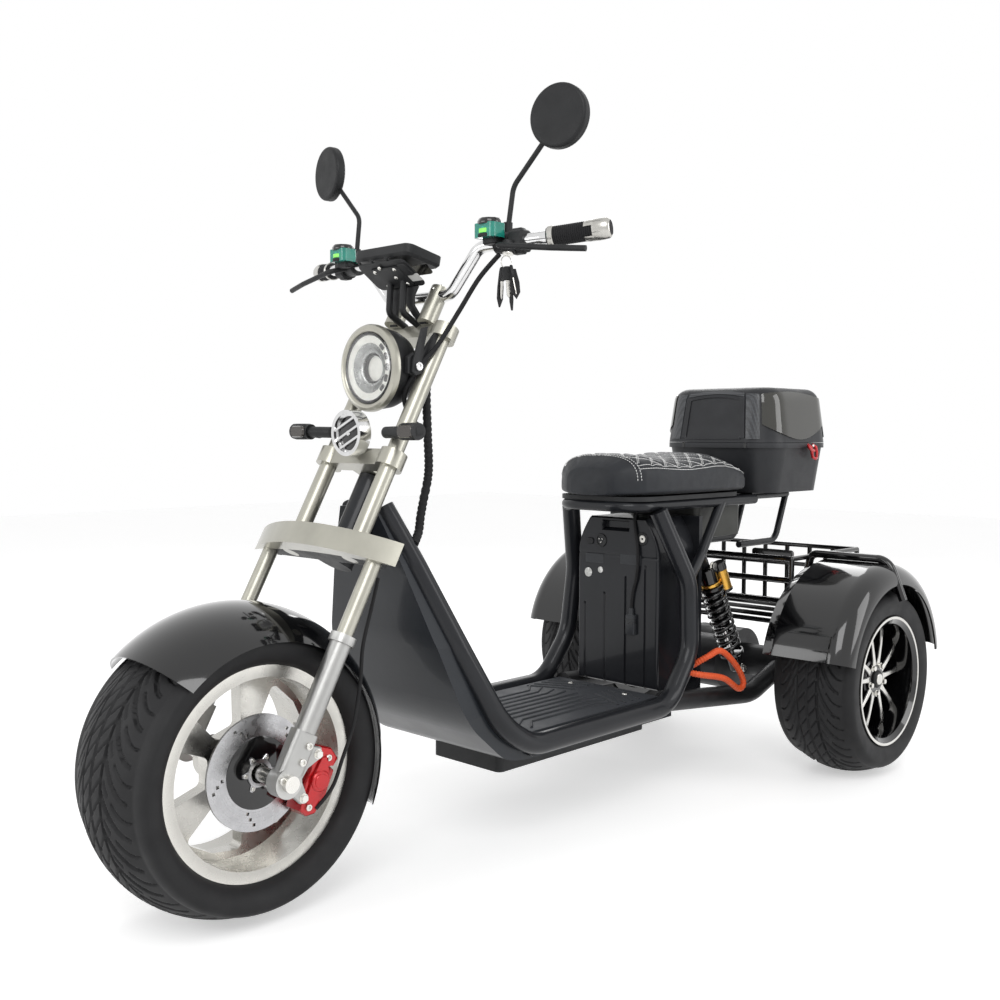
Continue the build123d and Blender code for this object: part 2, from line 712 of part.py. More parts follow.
def shock():
    """Left shock: damper, reservoir and spring rings along one axis."""
    a = Vector(*SHOCK_LOW)
    b = Vector(*SHOCK_TOP)
    length = (b - a).length
    up = (b - a).normalized()
    axis = Plane(origin=a, x_dir=up.cross(Vector(0, 1, 0)), z_dir=up)
    body = Pos(0, 0, length / 2) * Cylinder(13, length)
    low = 46
    high = length - 62
    pitch = (high - low) / SPRING_TURNS
    for k in range(SPRING_TURNS):
        body += Pos(0, 0, low + pitch * (k + 0.5)) * Torus(SPRING_R - 5, 5)
    for z in (low - 6, high + 6):
        body += Pos(0, 0, z) * Cylinder(SPRING_R + 2, 8)
    web = Pos(0, 0, (low + high) / 2) * Cylinder(SPRING_R - 7, high - low)
    can = Pos(34, 0, length - 40) * Cylinder(15, 62) + Pos(18, 0, length - 30) * Box(24, 20, 24)
    return axis.location * (body + web + can)


def rear_fender():
    """Left rear fender, arched over the tyre with a rounded outer lip."""
    r = FENDER_R
    t = FENDER_T
    inner_y = FENDER_IN_Y
    outer_y = FENDER_OUT_Y
    drop = 46
    outer = (Line((inner_y, r - 16), (inner_y + 30, r)) + Line((inner_y + 30, r), (outer_y - drop, r))
             + RadiusArc((outer_y - drop, r), (outer_y, r - drop), drop))
    inner = (RadiusArc((outer_y - t, r - drop), (outer_y - drop, r - t), -(drop - t))
             + Line((outer_y - drop, r - t), (inner_y + 30, r - t)) + Line((inner_y + 30, r - t), (inner_y, r - 16 - t)))
    ends = Line((outer_y, r - drop), (outer_y - t, r - drop)) + Line((inner_y, r - 16 - t), (inner_y, r - 16))
    face = make_face(outer + inner + ends)
    arch = revolve(Plane.YZ * face, axis=Axis.Y, revolution_arc=FENDER_TO - FENDER_FROM)
    return Pos(0, 0, REAR_TYRE_R + FENDER_RISE) * Rot(0, 90 - FENDER_TO, 0) * arch


def fender_hoop():
    """Left hoop over the fender, from the basket to the outer side."""
    top = REAR_TYRE_R + FENDER_RISE + FENDER_R + HOOP_R + SEAT_GAP
    return bent_rod([(0, BASKET_HALF_W, BASKET_TOP_Z - 40), (0, BASKET_HALF_W + 12, top), (0, 430, top),
                     (0, FENDER_OUT_Y + HOOP_R + SEAT_GAP, 400)], HOOP_R, [20, 40])


def basket():
    """Basket of round rails between the rear wheels."""
    r = BASKET_ROD_R
    x0 = BASKET_REAR_X
    x1 = BASKET_FRONT_X
    half = BASKET_HALF_W
    height = BASKET_TOP_Z - BASKET_Z
    cage = None
    for k in range(BASKET_RAIL_COUNT):
        z = BASKET_Z + height * k / (BASKET_RAIL_COUNT - 1)
        rails = rod((x0, -half, z), (x0, half, z), r) + rod((x1, -half, z), (x1, half, z), r)
        rails += both_sides(rod((x0, half, z), (x1, half, z), r))
        for x in (x0, x1):
            for y in (-half, half):
                rails += Pos(x, y, z) * Sphere(r)
        cage = rails if cage is None else cage + rails
    step = (x1 - x0) / (BASKET_POST_COUNT - 1)
    for k in range(BASKET_POST_COUNT):
        x = x0 + step * k
        cage += both_sides(rod((x, half, BASKET_Z), (x, half, BASKET_TOP_Z), r))
        cage += rod((x, -half, BASKET_Z), (x, half, BASKET_Z), r)
    for k in range(1, BASKET_POST_COUNT + 2):
        y = -half + 2 * half * k / (BASKET_POST_COUNT + 2)
        cage += rod((x0, y, BASKET_Z), (x0, y, BASKET_TOP_Z), r)
    for y in (-150, 150):
        cage += rod((0, y, REAR_TYRE_R + HOUSING_R - 1), (0, y, BASKET_Z), 9)
    return cage


def rounded_plan(x0, x1, half, corner, z):
    """Rounded rectangle seen from above, at a height."""
    plan = RectangleRounded(x1 - x0, 2 * half, corner)
    return Pos((x0 + x1) / 2, 0, z) * plan


BASE_INSET = 22.0
RIM_T = 12.0
LID_GAP = 1.0


def box_base():
    """Open lower half of the top box, with its rim."""
    low = rounded_plan(BOX_REAR_X + BASE_INSET, BOX_FRONT_X - BASE_INSET, BOX_HALF_W - BASE_INSET,
                       BOX_CORNER_R - BASE_INSET, BOX_Z)
    top = rounded_plan(BOX_REAR_X + 4, BOX_FRONT_X - 4, BOX_HALF_W - 4, BOX_CORNER_R - 4, BOX_RIM_Z)
    w = BOX_WALL
    low_in = rounded_plan(BOX_REAR_X + BASE_INSET + w, BOX_FRONT_X - BASE_INSET - w,
                          BOX_HALF_W - BASE_INSET - w, BOX_CORNER_R - BASE_INSET - w, BOX_Z + w)
    top_in = rounded_plan(BOX_REAR_X + 4 + w, BOX_FRONT_X - 4 - w, BOX_HALF_W - 4 - w,
                          BOX_CORNER_R - 4 - w, BOX_RIM_Z + 1)
    shell = loft([low, top]) - loft([low_in, top_in])
    rim = extrude(rounded_plan(BOX_REAR_X, BOX_FRONT_X, BOX_HALF_W, BOX_CORNER_R, BOX_RIM_Z - RIM_T), amount=RIM_T)
    rim -= extrude(rounded_plan(BOX_REAR_X + 6, BOX_FRONT_X - 6, BOX_HALF_W - 6, BOX_CORNER_R - 6,
                                BOX_RIM_Z - RIM_T), amount=RIM_T)
    return shell + rim


def box_lid():
    """Domed lid of the top box, hollow below."""
    z = BOX_RIM_Z + LID_GAP
    height = BOX_TOP_Z - z
    outer = extrude(rounded_plan(BOX_REAR_X, BOX_FRONT_X, BOX_HALF_W, BOX_CORNER_R, z), amount=height, taper=8)
    outer = fillet(outer.faces().sort_by(Axis.Z)[-1].edges(), 34)
    w = BOX_WALL
    inner = extrude(rounded_plan(BOX_REAR_X + w, BOX_FRONT_X - w, BOX_HALF_W - w, BOX_CORNER_R - w, z),
                    amount=height - w, taper=8)
    inner = fillet(inner.faces().sort_by(Axis.Z)[-1].edges(), 30)
    return outer - inner


def lid_latch():
    """Latch on the lid's rear face, over the base's rim."""
    return block(BOX_REAR_X - 8, BOX_REAR_X - SEAT_GAP, -26, 26, BOX_RIM_Z - 22, BOX_RIM_Z + 22)


def box_rack():
    """Rack under the top box: plate, two bent tubes and their foot."""
    plate = block(-200, 20, -90, 90, BOX_Z - 4, BOX_Z)
    tube = bent_rod([(-190, 60, BOX_Z - 12), (-140, 60, 500), (30, 60, 500)], 8, [40])
    bar = rod((-195, 60, BOX_Z - 12), (60, 60, BOX_Z - 12), 8)
    return plate + both_sides(tube + bar)


def tail_lamp():
    """Tail lamp behind the basket's top rail."""
    lamp = block(BASKET_REAR_X + BASKET_ROD_R, BASKET_REAR_X + 24, -60, 60, 440, 466)
    return fillet(lamp.edges().filter_by(Axis.X), 8)


def seat_pan():
    """Thin seat pan under the cushion, with the hinge leaf at its nose."""
    pan = rounded_plan(SEAT_REAR_X + 12, SEAT_NOSE_X - 12, SEAT_HALF_W - 14, 60, SEAT_Z - SEAT_PAN_T)
    return extrude(pan, amount=SEAT_PAN_T - SEAT_GAP)


# Seat sections along its length: x, half width, height over the pan
SEAT_SECTIONS = [
    (530, 92, 60), (492, 132, 94), (400, 138, 88), (300, 138, 90), (180, 134, 96), (84, 110, 60),
]


def seat_cushion():
    """Soft solo seat as one loft of rounded sections."""
    rings = []
    for x, half, height in SEAT_SECTIONS:
        section = RectangleRounded(2 * half, height, 0.42 * height)
        rings.append(Plane(origin=(x, 0, SEAT_Z + height / 2), x_dir=(0, 1, 0), z_dir=(1, 0, 0)) * section)
    return loft(rings, ruled=True)


def all_nodes():
    """Every node of the machine in the drawing frame."""
    front = Pos(WHEELBASE, 0, FRONT_TYRE_R)
    left = Pos(0, REAR_WHEEL_Y, REAR_TYRE_R)
    rear_tyre = left * tyre(REAR_TYRE_R, REAR_TYRE_W, REAR_FLANGE_R, REAR_RIM_W)
    rear_wheel = left * rear_rim()
    frame = main_frame()
    head_bore = head_tube()[1]
    rail = seat_rail() - frame
    shock_left = shock() - rail
    hoop = fender_hoop()
    cage = basket()
    return {
        "front_tyre": front * tyre(FRONT_TYRE_R, FRONT_TYRE_W, FRONT_FLANGE_R, FRONT_RIM_W),
        "front_rim": front * front_rim(),
        "front_disc": front * front_disc(),
        "rear_tyre_left": rear_tyre,
        "rear_tyre_right": mirror(rear_tyre, about=Plane.XZ),
        "rear_rim_left": rear_wheel,
        "rear_rim_right": mirror(rear_wheel, about=Plane.XZ),
        "upper_tubes": upper_tubes(),
        "top_clamp": top_clamp() + risers(),
        "mid_clamp": mid_clamp(),
        "lower_clamp": lower_clamp(),
        "fork_cover": fork_cover() - lower_clamp() - upper_tubes() - stanchions(),
        "stanchions": stanchions(),
        "lower_legs": lower_legs(),
        "front_axle": front_axle(),
        "caliper": caliper(),
        "front_fender": front_fender(),
        "handlebar": handlebar(),
        "grips": grips(),
        "levers": levers() - handlebar(),
        "reservoirs": reservoirs() - levers(),
        "mirrors": mirrors() - levers() - handlebar(),
        "display": display(),
        "display_bracket": display_bracket() - display() - top_clamp() - risers(),
        "headlight_bowl": headlight_bowl() - upper_tubes(),
        "headlight_lens": headlight_lens(),
        "horn": horn() - mid_clamp(),
        "turn_signals": turn_signals() - upper_tubes(),
        "main_frame": frame,
        "body_shell": body_shell(frame + head_bore),
        "floor_mat": floor_mat() - frame,
        "under_tray": under_tray(),
        "battery": battery() - frame,
        "battery_back": battery_back() - frame - rail - shell_solid(),
        "seat_rail": rail,
        "under_seat_box": under_seat_box() - rail,
        "drive_motor": drive_motor(),
        "axle_housing": axle_housing() - drive_motor() - frame,
        "rear_axle": rear_axle(),
        "shocks": both_sides(shock_left) - axle_housing() - drive_motor(),
        "fender_left": rear_fender() - hoop,
        "fender_right": mirror(rear_fender() - hoop, about=Plane.XZ),
        "fender_hoops": both_sides(hoop) - cage,
        "basket": cage - axle_housing(),
        "box_rack": box_rack() - rail - cage,
        "box_base": box_base(),
        "box_lid": box_lid(),
        "lid_latch": lid_latch(),
        "tail_lamp": tail_lamp() - cage,
        "seat_pan": seat_pan(),
        "seat_cushion": seat_cushion(),
    }


os.makedirs("parts", exist_ok=True)
for name, shape in all_nodes().items():
    export_step(Pos(-MID_X, 0, 0) * shape, f"parts/{name}.step")
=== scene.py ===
from math import asin, copysign, cos, degrees, exp, hypot, pi, radians, sin, sqrt

import bmesh
import bpy
from mathutils import Matrix, Vector
from mathutils.bvhtree import BVHTree


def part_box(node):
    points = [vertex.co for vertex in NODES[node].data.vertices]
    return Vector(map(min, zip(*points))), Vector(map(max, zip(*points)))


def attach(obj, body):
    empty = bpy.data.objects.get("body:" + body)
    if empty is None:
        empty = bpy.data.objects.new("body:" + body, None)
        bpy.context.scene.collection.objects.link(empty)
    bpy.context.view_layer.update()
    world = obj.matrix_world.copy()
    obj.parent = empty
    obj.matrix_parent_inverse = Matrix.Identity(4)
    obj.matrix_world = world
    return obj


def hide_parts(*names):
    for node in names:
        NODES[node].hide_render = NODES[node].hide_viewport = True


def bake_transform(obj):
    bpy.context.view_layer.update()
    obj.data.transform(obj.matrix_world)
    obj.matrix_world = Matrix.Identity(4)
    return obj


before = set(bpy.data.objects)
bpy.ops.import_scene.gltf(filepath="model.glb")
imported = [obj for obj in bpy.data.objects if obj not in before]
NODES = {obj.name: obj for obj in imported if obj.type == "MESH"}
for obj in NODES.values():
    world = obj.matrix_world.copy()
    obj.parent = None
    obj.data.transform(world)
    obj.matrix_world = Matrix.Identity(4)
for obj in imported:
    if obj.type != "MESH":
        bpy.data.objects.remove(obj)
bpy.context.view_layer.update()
MM = 0.001
SIDES = (-1, 1)
X, Y, Z = Vector((1, 0, 0)), Vector((0, 1, 0)), Vector((0, 0, 1))


def middle(node):
    """Middle of a node's box."""
    low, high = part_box(node)
    return (low + high) / 2


# Places that the frame gives
FRONT_HUB = middle("front_tyre")
LEFT_HUB = middle("rear_tyre_left")
RIGHT_HUB = middle("rear_tyre_right")
RAKE = radians(29.0)
FORK = Matrix(((cos(RAKE), 0, -sin(RAKE), FRONT_HUB.x), (0, 1, 0, 0),
               (sin(RAKE), 0, cos(RAKE), FRONT_HUB.z), (0, 0, 0, 1)))


def at(x, y, z):
    """Point given in millimetres ahead of the rear axle, to the left and above the floor."""
    return Vector((LEFT_HUB.x + x * MM, y * MM, z * MM))


def on_fork(u, y, w):
    """Point given in millimetres ahead of, beside and along the fork, from the front axle."""
    return FORK @ Vector((u * MM, y * MM, w * MM))


def turned(origin, direction, toward=Z):
    """Matrix at origin whose Z runs along direction and whose X leans toward another direction."""
    z = Vector(direction).normalized()
    side = Vector(toward)
    if abs(z.dot(side.normalized())) > 0.98:
        side = X
    x = (side - z * side.dot(z)).normalized()
    turn = Matrix((x, z.cross(x), z)).transposed().to_4x4()
    turn.translation = Vector(origin)
    return turn


# Materials

class Finish:
    """One procedural material and the nodes that shade it."""

    def __init__(self, name, colour, rough, metal=0.0):
        self.mat = bpy.data.materials.new(name)
        self.mat.use_nodes = True
        self.tree = self.mat.node_tree
        self.shader = self.tree.nodes["Principled BSDF"]
        self.colour = colour
        self.rough = rough
        self.height = None
        self.set(Metallic=metal, Roughness=rough, Base_Color=(*colour, 1))
        self.place = self.node("ShaderNodeTexCoord").outputs["Object"]

    def feed(self, target, value):
        """Link a socket to an input, or set the input's value."""
        if isinstance(value, bpy.types.NodeSocket):
            self.tree.links.new(value, target)
        else:
            target.default_value = value

    def node(self, kind, *inputs, **named):
        """New node; a capitalised name is an input, any other one a property, and those come first."""
        made = self.tree.nodes.new(kind)
        for key, value in named.items():
            if key[0].isupper():
                self.feed(made.inputs[key.replace("_", " ")], value)
            else:
                setattr(made, key, value)
        for target, value in zip(made.inputs, inputs):
            self.feed(target, value)
        return made

    def set(self, **values):
        """Values or sockets for the shader's inputs."""
        for key, value in values.items():
            self.feed(self.shader.inputs[key.replace("_", " ")], value)
        return self

    def noise(self, scale, detail=3.0, stretch=None):
        """Noise, stretched by a scale along each axis if one is given."""
        place = self.place
        if stretch:
            place = self.node("ShaderNodeMapping", Scale=stretch, Vector=place).outputs["Vector"]
        return self.node("ShaderNodeTexNoise", Scale=scale, Detail=detail, Vector=place).outputs["Fac"]

    def ramp(self, source, low, high, dark, light):
        """Colour that goes from dark to light as source goes from low to high."""
        made = self.node("ShaderNodeValToRGB", Fac=source)
        for stop, position, colour in zip(made.color_ramp.elements, (low, high), (dark, light)):
            stop.position = position
            stop.color = (*colour, 1)
        return made.outputs["Color"]

    def mottle(self, scale, spread, detail=4.0, stretch=None):
        """Colour variation about the base colour."""
        dark = [c * (1 - spread) for c in self.colour]
        light = [min(1.0, c * (1 + spread)) for c in self.colour]
        self.tone = self.ramp(self.noise(scale, detail, stretch), 0.3, 0.7, dark, light)
        return self.set(Base_Color=self.tone)

    def wear(self, colour, edge=0.56, width=0.06):
        """Lighter colour on worn edges."""
        point = self.node("ShaderNodeNewGeometry").outputs["Pointiness"]
        mask = self.ramp(point, edge, edge + width, (0, 0, 0), (1, 1, 1))
        mix = self.node("ShaderNodeMix", data_type="RGBA", Factor=mask, A=self.tone, B=(*colour, 1))
        return self.set(Base_Color=mix.outputs["Result"])

    def uneven(self, scale, spread, stretch=None):
        """Roughness that varies about its value."""
        reach = self.node("ShaderNodeMapRange", Value=self.noise(scale, 4.0, stretch), From_Min=0.3, From_Max=0.7,
                          To_Min=max(0.02, self.rough - spread), To_Max=min(1.0, self.rough + spread))
        return self.set(Roughness=reach.outputs["Result"])

    def relief(self, source, strength, distance):
        """Bump of a height source, in metres, on top of any bump before it."""
        bump = self.node("ShaderNodeBump", Strength=strength, Distance=distance, Height=source)
        if self.height:
            self.feed(bump.inputs["Normal"], self.height)
        self.height = bump.outputs["Normal"]
        return self.set(Normal=self.height)

    def grain(self, scale, strength, distance, detail=2.0, stretch=None):
        """Fine bump of noise."""
        return self.relief(self.noise(scale, detail, stretch), strength, distance)

    def cells(self, scale, strength, distance):
        """Leather-like cells."""
        made = self.node("ShaderNodeTexVoronoi", feature="DISTANCE_TO_EDGE", Scale=scale, Vector=self.place)
        return self.relief(made.outputs["Distance"], strength, distance)


def paint(name, colour, rough, coat=0.0, metal=0.0, peel=0.15):
    """Sprayed paint with a faint orange peel under its lacquer."""
    made = Finish(name, colour, rough, metal).mottle(14, 0.1).uneven(9, 0.04).grain(120, peel, 0.0004)
    return made.set(Coat_Weight=coat, Coat_Roughness=0.05, Specular_IOR_Level=0.2).mat


def cast(name, colour, rough, metal=0.9, spread=0.07):
    """Cast and lacquered metal with fine pits."""
    made = Finish(name, colour, rough, metal).mottle(22, spread).wear([min(1, c * 1.25) for c in colour])
    return made.uneven(40, 0.07).grain(700, 0.25, 0.0002).mat


def brushed(name, colour, rough, stretch, metal=1.0):
    """Metal brushed along one direction."""
    made = Finish(name, colour, rough, metal).mottle(60, 0.06, 3, stretch).uneven(90, 0.08, stretch)
    return made.grain(260, 0.2, 0.0001, 2, stretch).mat


def moulded(name, colour, rough, grain=0.35, scale=1100):
    """Moulded plastic or rubber with an eroded grain."""
    made = Finish(name, colour, rough).mottle(18, 0.12).wear([min(1, c * 1.6 + 0.01) for c in colour], 0.55, 0.1)
    return made.uneven(30, 0.06).set(Specular_IOR_Level=0.3).grain(scale, grain, 0.0003, 3).mat


def carbon(name):
    """Twill weave printed on plastic."""
    made = Finish(name, (0.035, 0.038, 0.043), 0.38)
    weave = 1.0
    for direction in "XYZ":
        wave = made.node("ShaderNodeTexWave", bands_direction=direction, Scale=95, Vector=made.place)
        weave = made.node("ShaderNodeMath", weave, wave.outputs["Fac"], operation="MULTIPLY").outputs["Value"]
    made.set(Base_Color=made.ramp(weave, 0.05, 0.3, (0.022, 0.024, 0.028), (0.085, 0.09, 0.1)))
    return made.relief(weave, 0.4, 0.0004).set(Coat_Weight=0.3, Coat_Roughness=0.15).mat


def glass(name, colour, rough, transmission):
    """Clear or tinted moulded lens."""
    made = Finish(name, colour, rough).mottle(20, 0.05).uneven(40, 0.02).grain(200, 0.05, 0.0001)
    return made.set(Transmission_Weight=transmission, IOR=1.49, Coat_Weight=0.5).mat


def glow(name, colour, strength):
    """Painted glow: a surface that shines a little by itself, standing in for light it does not make."""
    made = Finish(name, colour, 0.3).mottle(60, 0.05).grain(500, 0.1, 0.0001)
    # the emission here is painted glow
    return made.set(Emission_Color=(*colour, 1), Emission_Strength=strength).mat


def leather(name, colour):
    """Coated fabric with a fine pebble and a slight sheen."""
    made = Finish(name, colour, 0.5).mottle(40, 0.14).uneven(60, 0.06).cells(900, 0.35, 0.00035)
    made.grain(2200, 0.2, 0.0001)
    return made.set(Sheen_Weight=0.06, Sheen_Roughness=0.5, Specular_IOR_Level=0.35).mat


EVENLY = (1, 1, 1)
M = {
    "tyre": moulded("tyre_rubber", (0.012, 0.012, 0.013), 0.62, 0.3, 700),
    "gloss_black": paint("gloss_black_paint", (0.003, 0.003, 0.0035), 0.12, 1.0, 0.0, 0.05),
    "frame_black": paint("satin_black_paint", (0.014, 0.015, 0.018), 0.36, 0.25, 0.1),
    "shell": paint("charcoal_paint", (0.017, 0.020, 0.025), 0.36, 0.3, 0.1, 0.2),
    "champagne": paint("champagne_silver", (0.41, 0.40, 0.345), 0.34, 0.5, 0.75, 0.06),
    "chrome": brushed("chromed_steel", (0.72, 0.72, 0.72), 0.12, EVENLY),
    "polished": cast("polished_casting", (0.50, 0.49, 0.46), 0.27, 1.0, 0.05),
    "steel": brushed("ground_steel", (0.45, 0.45, 0.46), 0.28, (1, 30, 1)),
    "cast_grey": cast("cast_legs", (0.42, 0.42, 0.41), 0.36, 0.85),
    "zinc": cast("zinc_bolts", (0.62, 0.61, 0.58), 0.25, 1.0, 0.1),
    "black_plastic": moulded("black_plastic", (0.011, 0.0115, 0.0125), 0.5),
    "grey_plastic": moulded("grey_plastic", (0.032, 0.034, 0.038), 0.5, 0.45, 800),
    "rubber": moulded("black_rubber", (0.010, 0.010, 0.011), 0.72, 0.5, 1500),
    "mat": moulded("floor_rubber", (0.022, 0.024, 0.028), 0.58, 0.5, 900),
    "olive": moulded("olive_grey_steel", (0.04, 0.041, 0.037), 0.45, 0.2, 500),
    "red": paint("red_anodised", (0.55, 0.012, 0.016), 0.25, 0.7, 0.35, 0.06),
    "gold": paint("gold_anodised", (0.72, 0.40, 0.07), 0.24, 0.3, 0.9, 0.04),
    "teal": glass("teal_cup", (0.01, 0.36, 0.27), 0.12, 0.35),
    # brake fluid with a painted glow: it shines by itself
    "fluid": glow("brake_fluid_painted_glow", (0.25, 0.75, 0.12), 0.35),
    "orange": moulded("orange_conduit", (0.80, 0.11, 0.03), 0.42, 0.2, 600),
    "lens": glass("clear_lens", (0.95, 0.95, 0.94), 0.05, 1.0),
    # headlight reflector with a painted glow: it shines a little by itself
    "reflector_painted_glow": glow("lamp_reflector_painted_glow", (0.80, 0.80, 0.76), 0.25),
    "lamp_grey": brushed("lamp_ring", (0.42, 0.43, 0.43), 0.3, EVENLY, 0.8),
    "smoked": glass("smoked_lens", (0.06, 0.05, 0.042), 0.15, 0.3),
    "tail_red": glass("red_lens", (0.42, 0.01, 0.01), 0.12, 0.35),
    "visor": glass("smoked_visor", (0.035, 0.034, 0.026), 0.06, 0.25),
    "screen": paint("dark_screen", (0.006, 0.006, 0.008), 0.06, 1.0, 0.0, 0.0),
    "label": moulded("blank_label", (0.62, 0.62, 0.60), 0.5, 0.1, 300),
    "mirror": brushed("mirror_glass", (0.82, 0.84, 0.86), 0.03, EVENLY),
    "carbon": carbon("carbon_print"),
    "box_grey": moulded("box_plastic", (0.022, 0.023, 0.026), 0.42, 0.35, 900),
    "thread": moulded("white_thread", (0.72, 0.72, 0.70), 0.75, 0.5, 2500),
    "white": paint("white_spring", (0.62, 0.60, 0.58), 0.35, 0.3),
    "machined": brushed("machined_faces", (0.66, 0.65, 0.62), 0.22, EVENLY),
    "motor": cast("motor_casting", (0.03, 0.03, 0.032), 0.42, 0.6),
    "leather": leather("seat_leather", (0.013, 0.015, 0.019)),
}

# CAD nodes of each finish; all the others are black plastic
FINISH_NODES = {
    "polished": "front_rim", "steel": "front_disc", "cast_grey": "lower_legs", "zinc": "front_axle rear_axle",
    "gloss_black": "rear_rim_left rear_rim_right front_fender fender_left fender_right fender_hoops basket",
    "champagne": "upper_tubes top_clamp mid_clamp fork_cover stanchions headlight_lens",
    "frame_black": "main_frame battery_back seat_rail box_rack", "shell": "body_shell", "mat": "floor_mat",
    "red": "caliper", "chrome": "handlebar horn", "rubber": "grips", "teal": "reservoirs",
    "olive": "under_seat_box", "motor": "drive_motor axle_housing", "box_grey": "box_base box_lid lid_latch",
    "tail_red": "tail_lamp", "tyre": "front_tyre rear_tyre_left rear_tyre_right", "leather": "seat_cushion",
}
NODE_FINISH = {node: finish for finish, nodes in FINISH_NODES.items() for node in nodes.split()}
for node_name, node in NODES.items():
    node.data.materials.clear()
    node.data.materials.append(M[NODE_FINISH.get(node_name, "black_plastic")])


# Meshes

TIP = 0.001  # radius at which a turned profile closes
CORNER_STEPS = 4


class Shape:
    """Faces of one piece, gathered in the frame's metres from sizes in millimetres."""

    def __init__(self, name, body, *finishes):
        self.name = name
        self.body = body
        self.finishes = finishes
        self.bm = bmesh.new()
        self.place = Matrix.Identity(4)
        self.tone = 0

    def put(self, place):
        """Work in the axes of a matrix."""
        self.place = place
        return self

    def aim(self, origin, direction, toward=Z):
        """Work from a point, with Z along a direction."""
        return self.put(turned(origin, direction, toward))

    def origin(self, x=0, y=0, z=0):
        """Work from a point given from the rear axle, in the frame's axes."""
        return self.put(Matrix.Translation(at(x, y, z)))

    def use(self, tone):
        """Give the next faces another of the piece's finishes."""
        self.tone = tone
        return self

    def faces(self, points, faces):
        """Add points, in millimetres of the current place, and the faces between them."""
        verts = [self.bm.verts.new(self.place @ (Vector(p) * MM)) for p in points]
        for face in faces:
            if len(set(face)) > 2:
                made = self.bm.faces.new([verts[k] for k in face])
                made.material_index = self.tone
                made.smooth = True
        return self

    def skin(self, rows, around=False, along=False):
        """Quads between rows of points, closed around each row or along the rows."""
        count = len(rows[0])
        faces = []
        for i in range(len(rows) if along else len(rows) - 1):
            j = (i + 1) % len(rows)
            for k in range(count if around else count - 1):
                n = (k + 1) % count
                faces.append((i * count + k, i * count + n, j * count + n, j * count + k))
        return self.faces([p for row in rows for p in row], faces)

    def loft(self, rows):
        """Closed skin around rows of points, with both ends filled."""
        count = len(rows[0])
        self.skin(rows, around=True)
        self.faces(rows[0], [tuple(reversed(range(count)))])
        return self.faces(rows[-1], [tuple(range(count))])

    def lathe(self, profile, steps=48, closed=False, start=0.0, sweep=360.0):
        """Turn a profile of (radius, height) about Z."""
        full = sweep == 360.0
        turns = [radians(start + sweep * k / steps) for k in range(steps if full else steps + 1)]
        rows = [[(r * cos(a), r * sin(a), z) for r, z in profile] for a in turns]
        return self.skin(rows, around=closed, along=full)

    def ring(self, profile, steps=96, **part):
        """Turn a closed profile."""
        return self.lathe(profile, steps, closed=True, **part)

    def drum(self, radius, low, high, steps=32, edge=0.6, inner=0.0):
        """Closed cylinder or ring with broken edges."""
        e = min(edge, (high - low) / 3, radius / 3)
        outer = [(radius - e, low), (radius, low + e), (radius, high - e), (radius - e, high)]
        if inner:
            return self.ring(outer + [(inner, high), (inner, low)], steps)
        return self.lathe([(TIP, low)] + outer + [(TIP, high)], steps)

    def prism(self, outline, low, high, edge):
        """Closed prism over an outline of (x, y), its edges broken."""
        cx, cy = (sum(p[k] for p in outline) / len(outline) for k in (0, 1))
        rows = []
        for inset, z in ((edge, low), (0, low + edge), (0, high - edge), (edge, high)):
            row = []
            for x, y in outline:
                s = max(0.0, 1 - inset / (hypot(x - cx, y - cy) or 1.0))
                row.append((cx + (x - cx) * s, cy + (y - cy) * s, z))
            rows.append(row)
        return self.loft(rows)

    def slab(self, size, centre, corner, edge):
        """Block with rounded corners in plan and broken edges."""
        outline = [(x + centre[0], y + centre[1]) for x, y in rounded(size[0], size[1], corner)]
        return self.prism(outline, centre[2] - size[2] / 2, centre[2] + size[2] / 2, edge)

    def tube(self, points, radius, sides=12, cap=True):
        """Round tube along points, of one radius or one for each point."""
        points = [Vector(p) for p in points]
        last = len(points) - 1
        tangents = [(points[min(i + 1, last)] - points[max(i - 1, 0)]).normalized() for i in range(last + 1)]
        radii = radius if isinstance(radius, (list, tuple)) else [radius] * len(points)
        side = tangents[0].orthogonal().normalized()
        rows = []
        for p, tangent, r in zip(points, tangents, radii):
            side = (side - tangent * side.dot(tangent)).normalized()
            other = tangent.cross(side)
            rows.append([tuple(p + (side * cos(a) + other * sin(a)) * r)
                         for a in (2 * pi * k / sides for k in range(sides))])
        return self.loft(rows) if cap else self.skin(rows, around=True)

    def done(self, sharp=35.0, slot=None, replaces=()):
        """The finished piece, riding on its body."""
        bmesh.ops.remove_doubles(self.bm, verts=self.bm.verts, dist=1e-6)
        bmesh.ops.recalc_face_normals(self.bm, faces=self.bm.faces)
        for edge in self.bm.edges:
            if len(edge.link_faces) == 2 and edge.calc_face_angle(0) > radians(sharp):
                edge.smooth = False
        mesh = bpy.data.meshes.new(self.name)
        self.bm.to_mesh(mesh)
        self.bm.free()
        for finish in self.finishes:
            mesh.materials.append(M[finish])
        piece = bpy.data.objects.new(self.name, mesh)
        bpy.context.scene.collection.objects.link(piece)
        if self.body:
            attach(piece, self.body)
        if replaces:
            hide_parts(*replaces)
        return piece


def rounded(width, height, corner):
    """Outline of a rounded rectangle about zero."""
    points = []
    for cx, cy, start in ((1, 1, 0), (-1, 1, 90), (-1, -1, 180), (1, -1, 270)):
        for k in range(CORNER_STEPS + 1):
            a = radians(start + 90 * k / CORNER_STEPS)
            points.append((cx * (width / 2 - corner) + corner * cos(a),
                           cy * (height / 2 - corner) + corner * sin(a)))
    return points


def smooth_path(points, per):
    """Points of a smooth curve through a few points, so many to each."""
    p = [Vector(q) for q in points]
    out = []
    for i in range(len(p) - 1):
        a, b, c, d = p[max(i - 1, 0)], p[i], p[i + 1], p[min(i + 2, len(p) - 1)]
        for t in (k / per for k in range(per)):
            out.append(0.5 * ((2 * b) + (c - a) * t + (2 * a - 5 * b + 4 * c - d) * t ** 2
                              + (3 * b - a - 3 * c + d) * t ** 3))
    return out + [p[-1]]


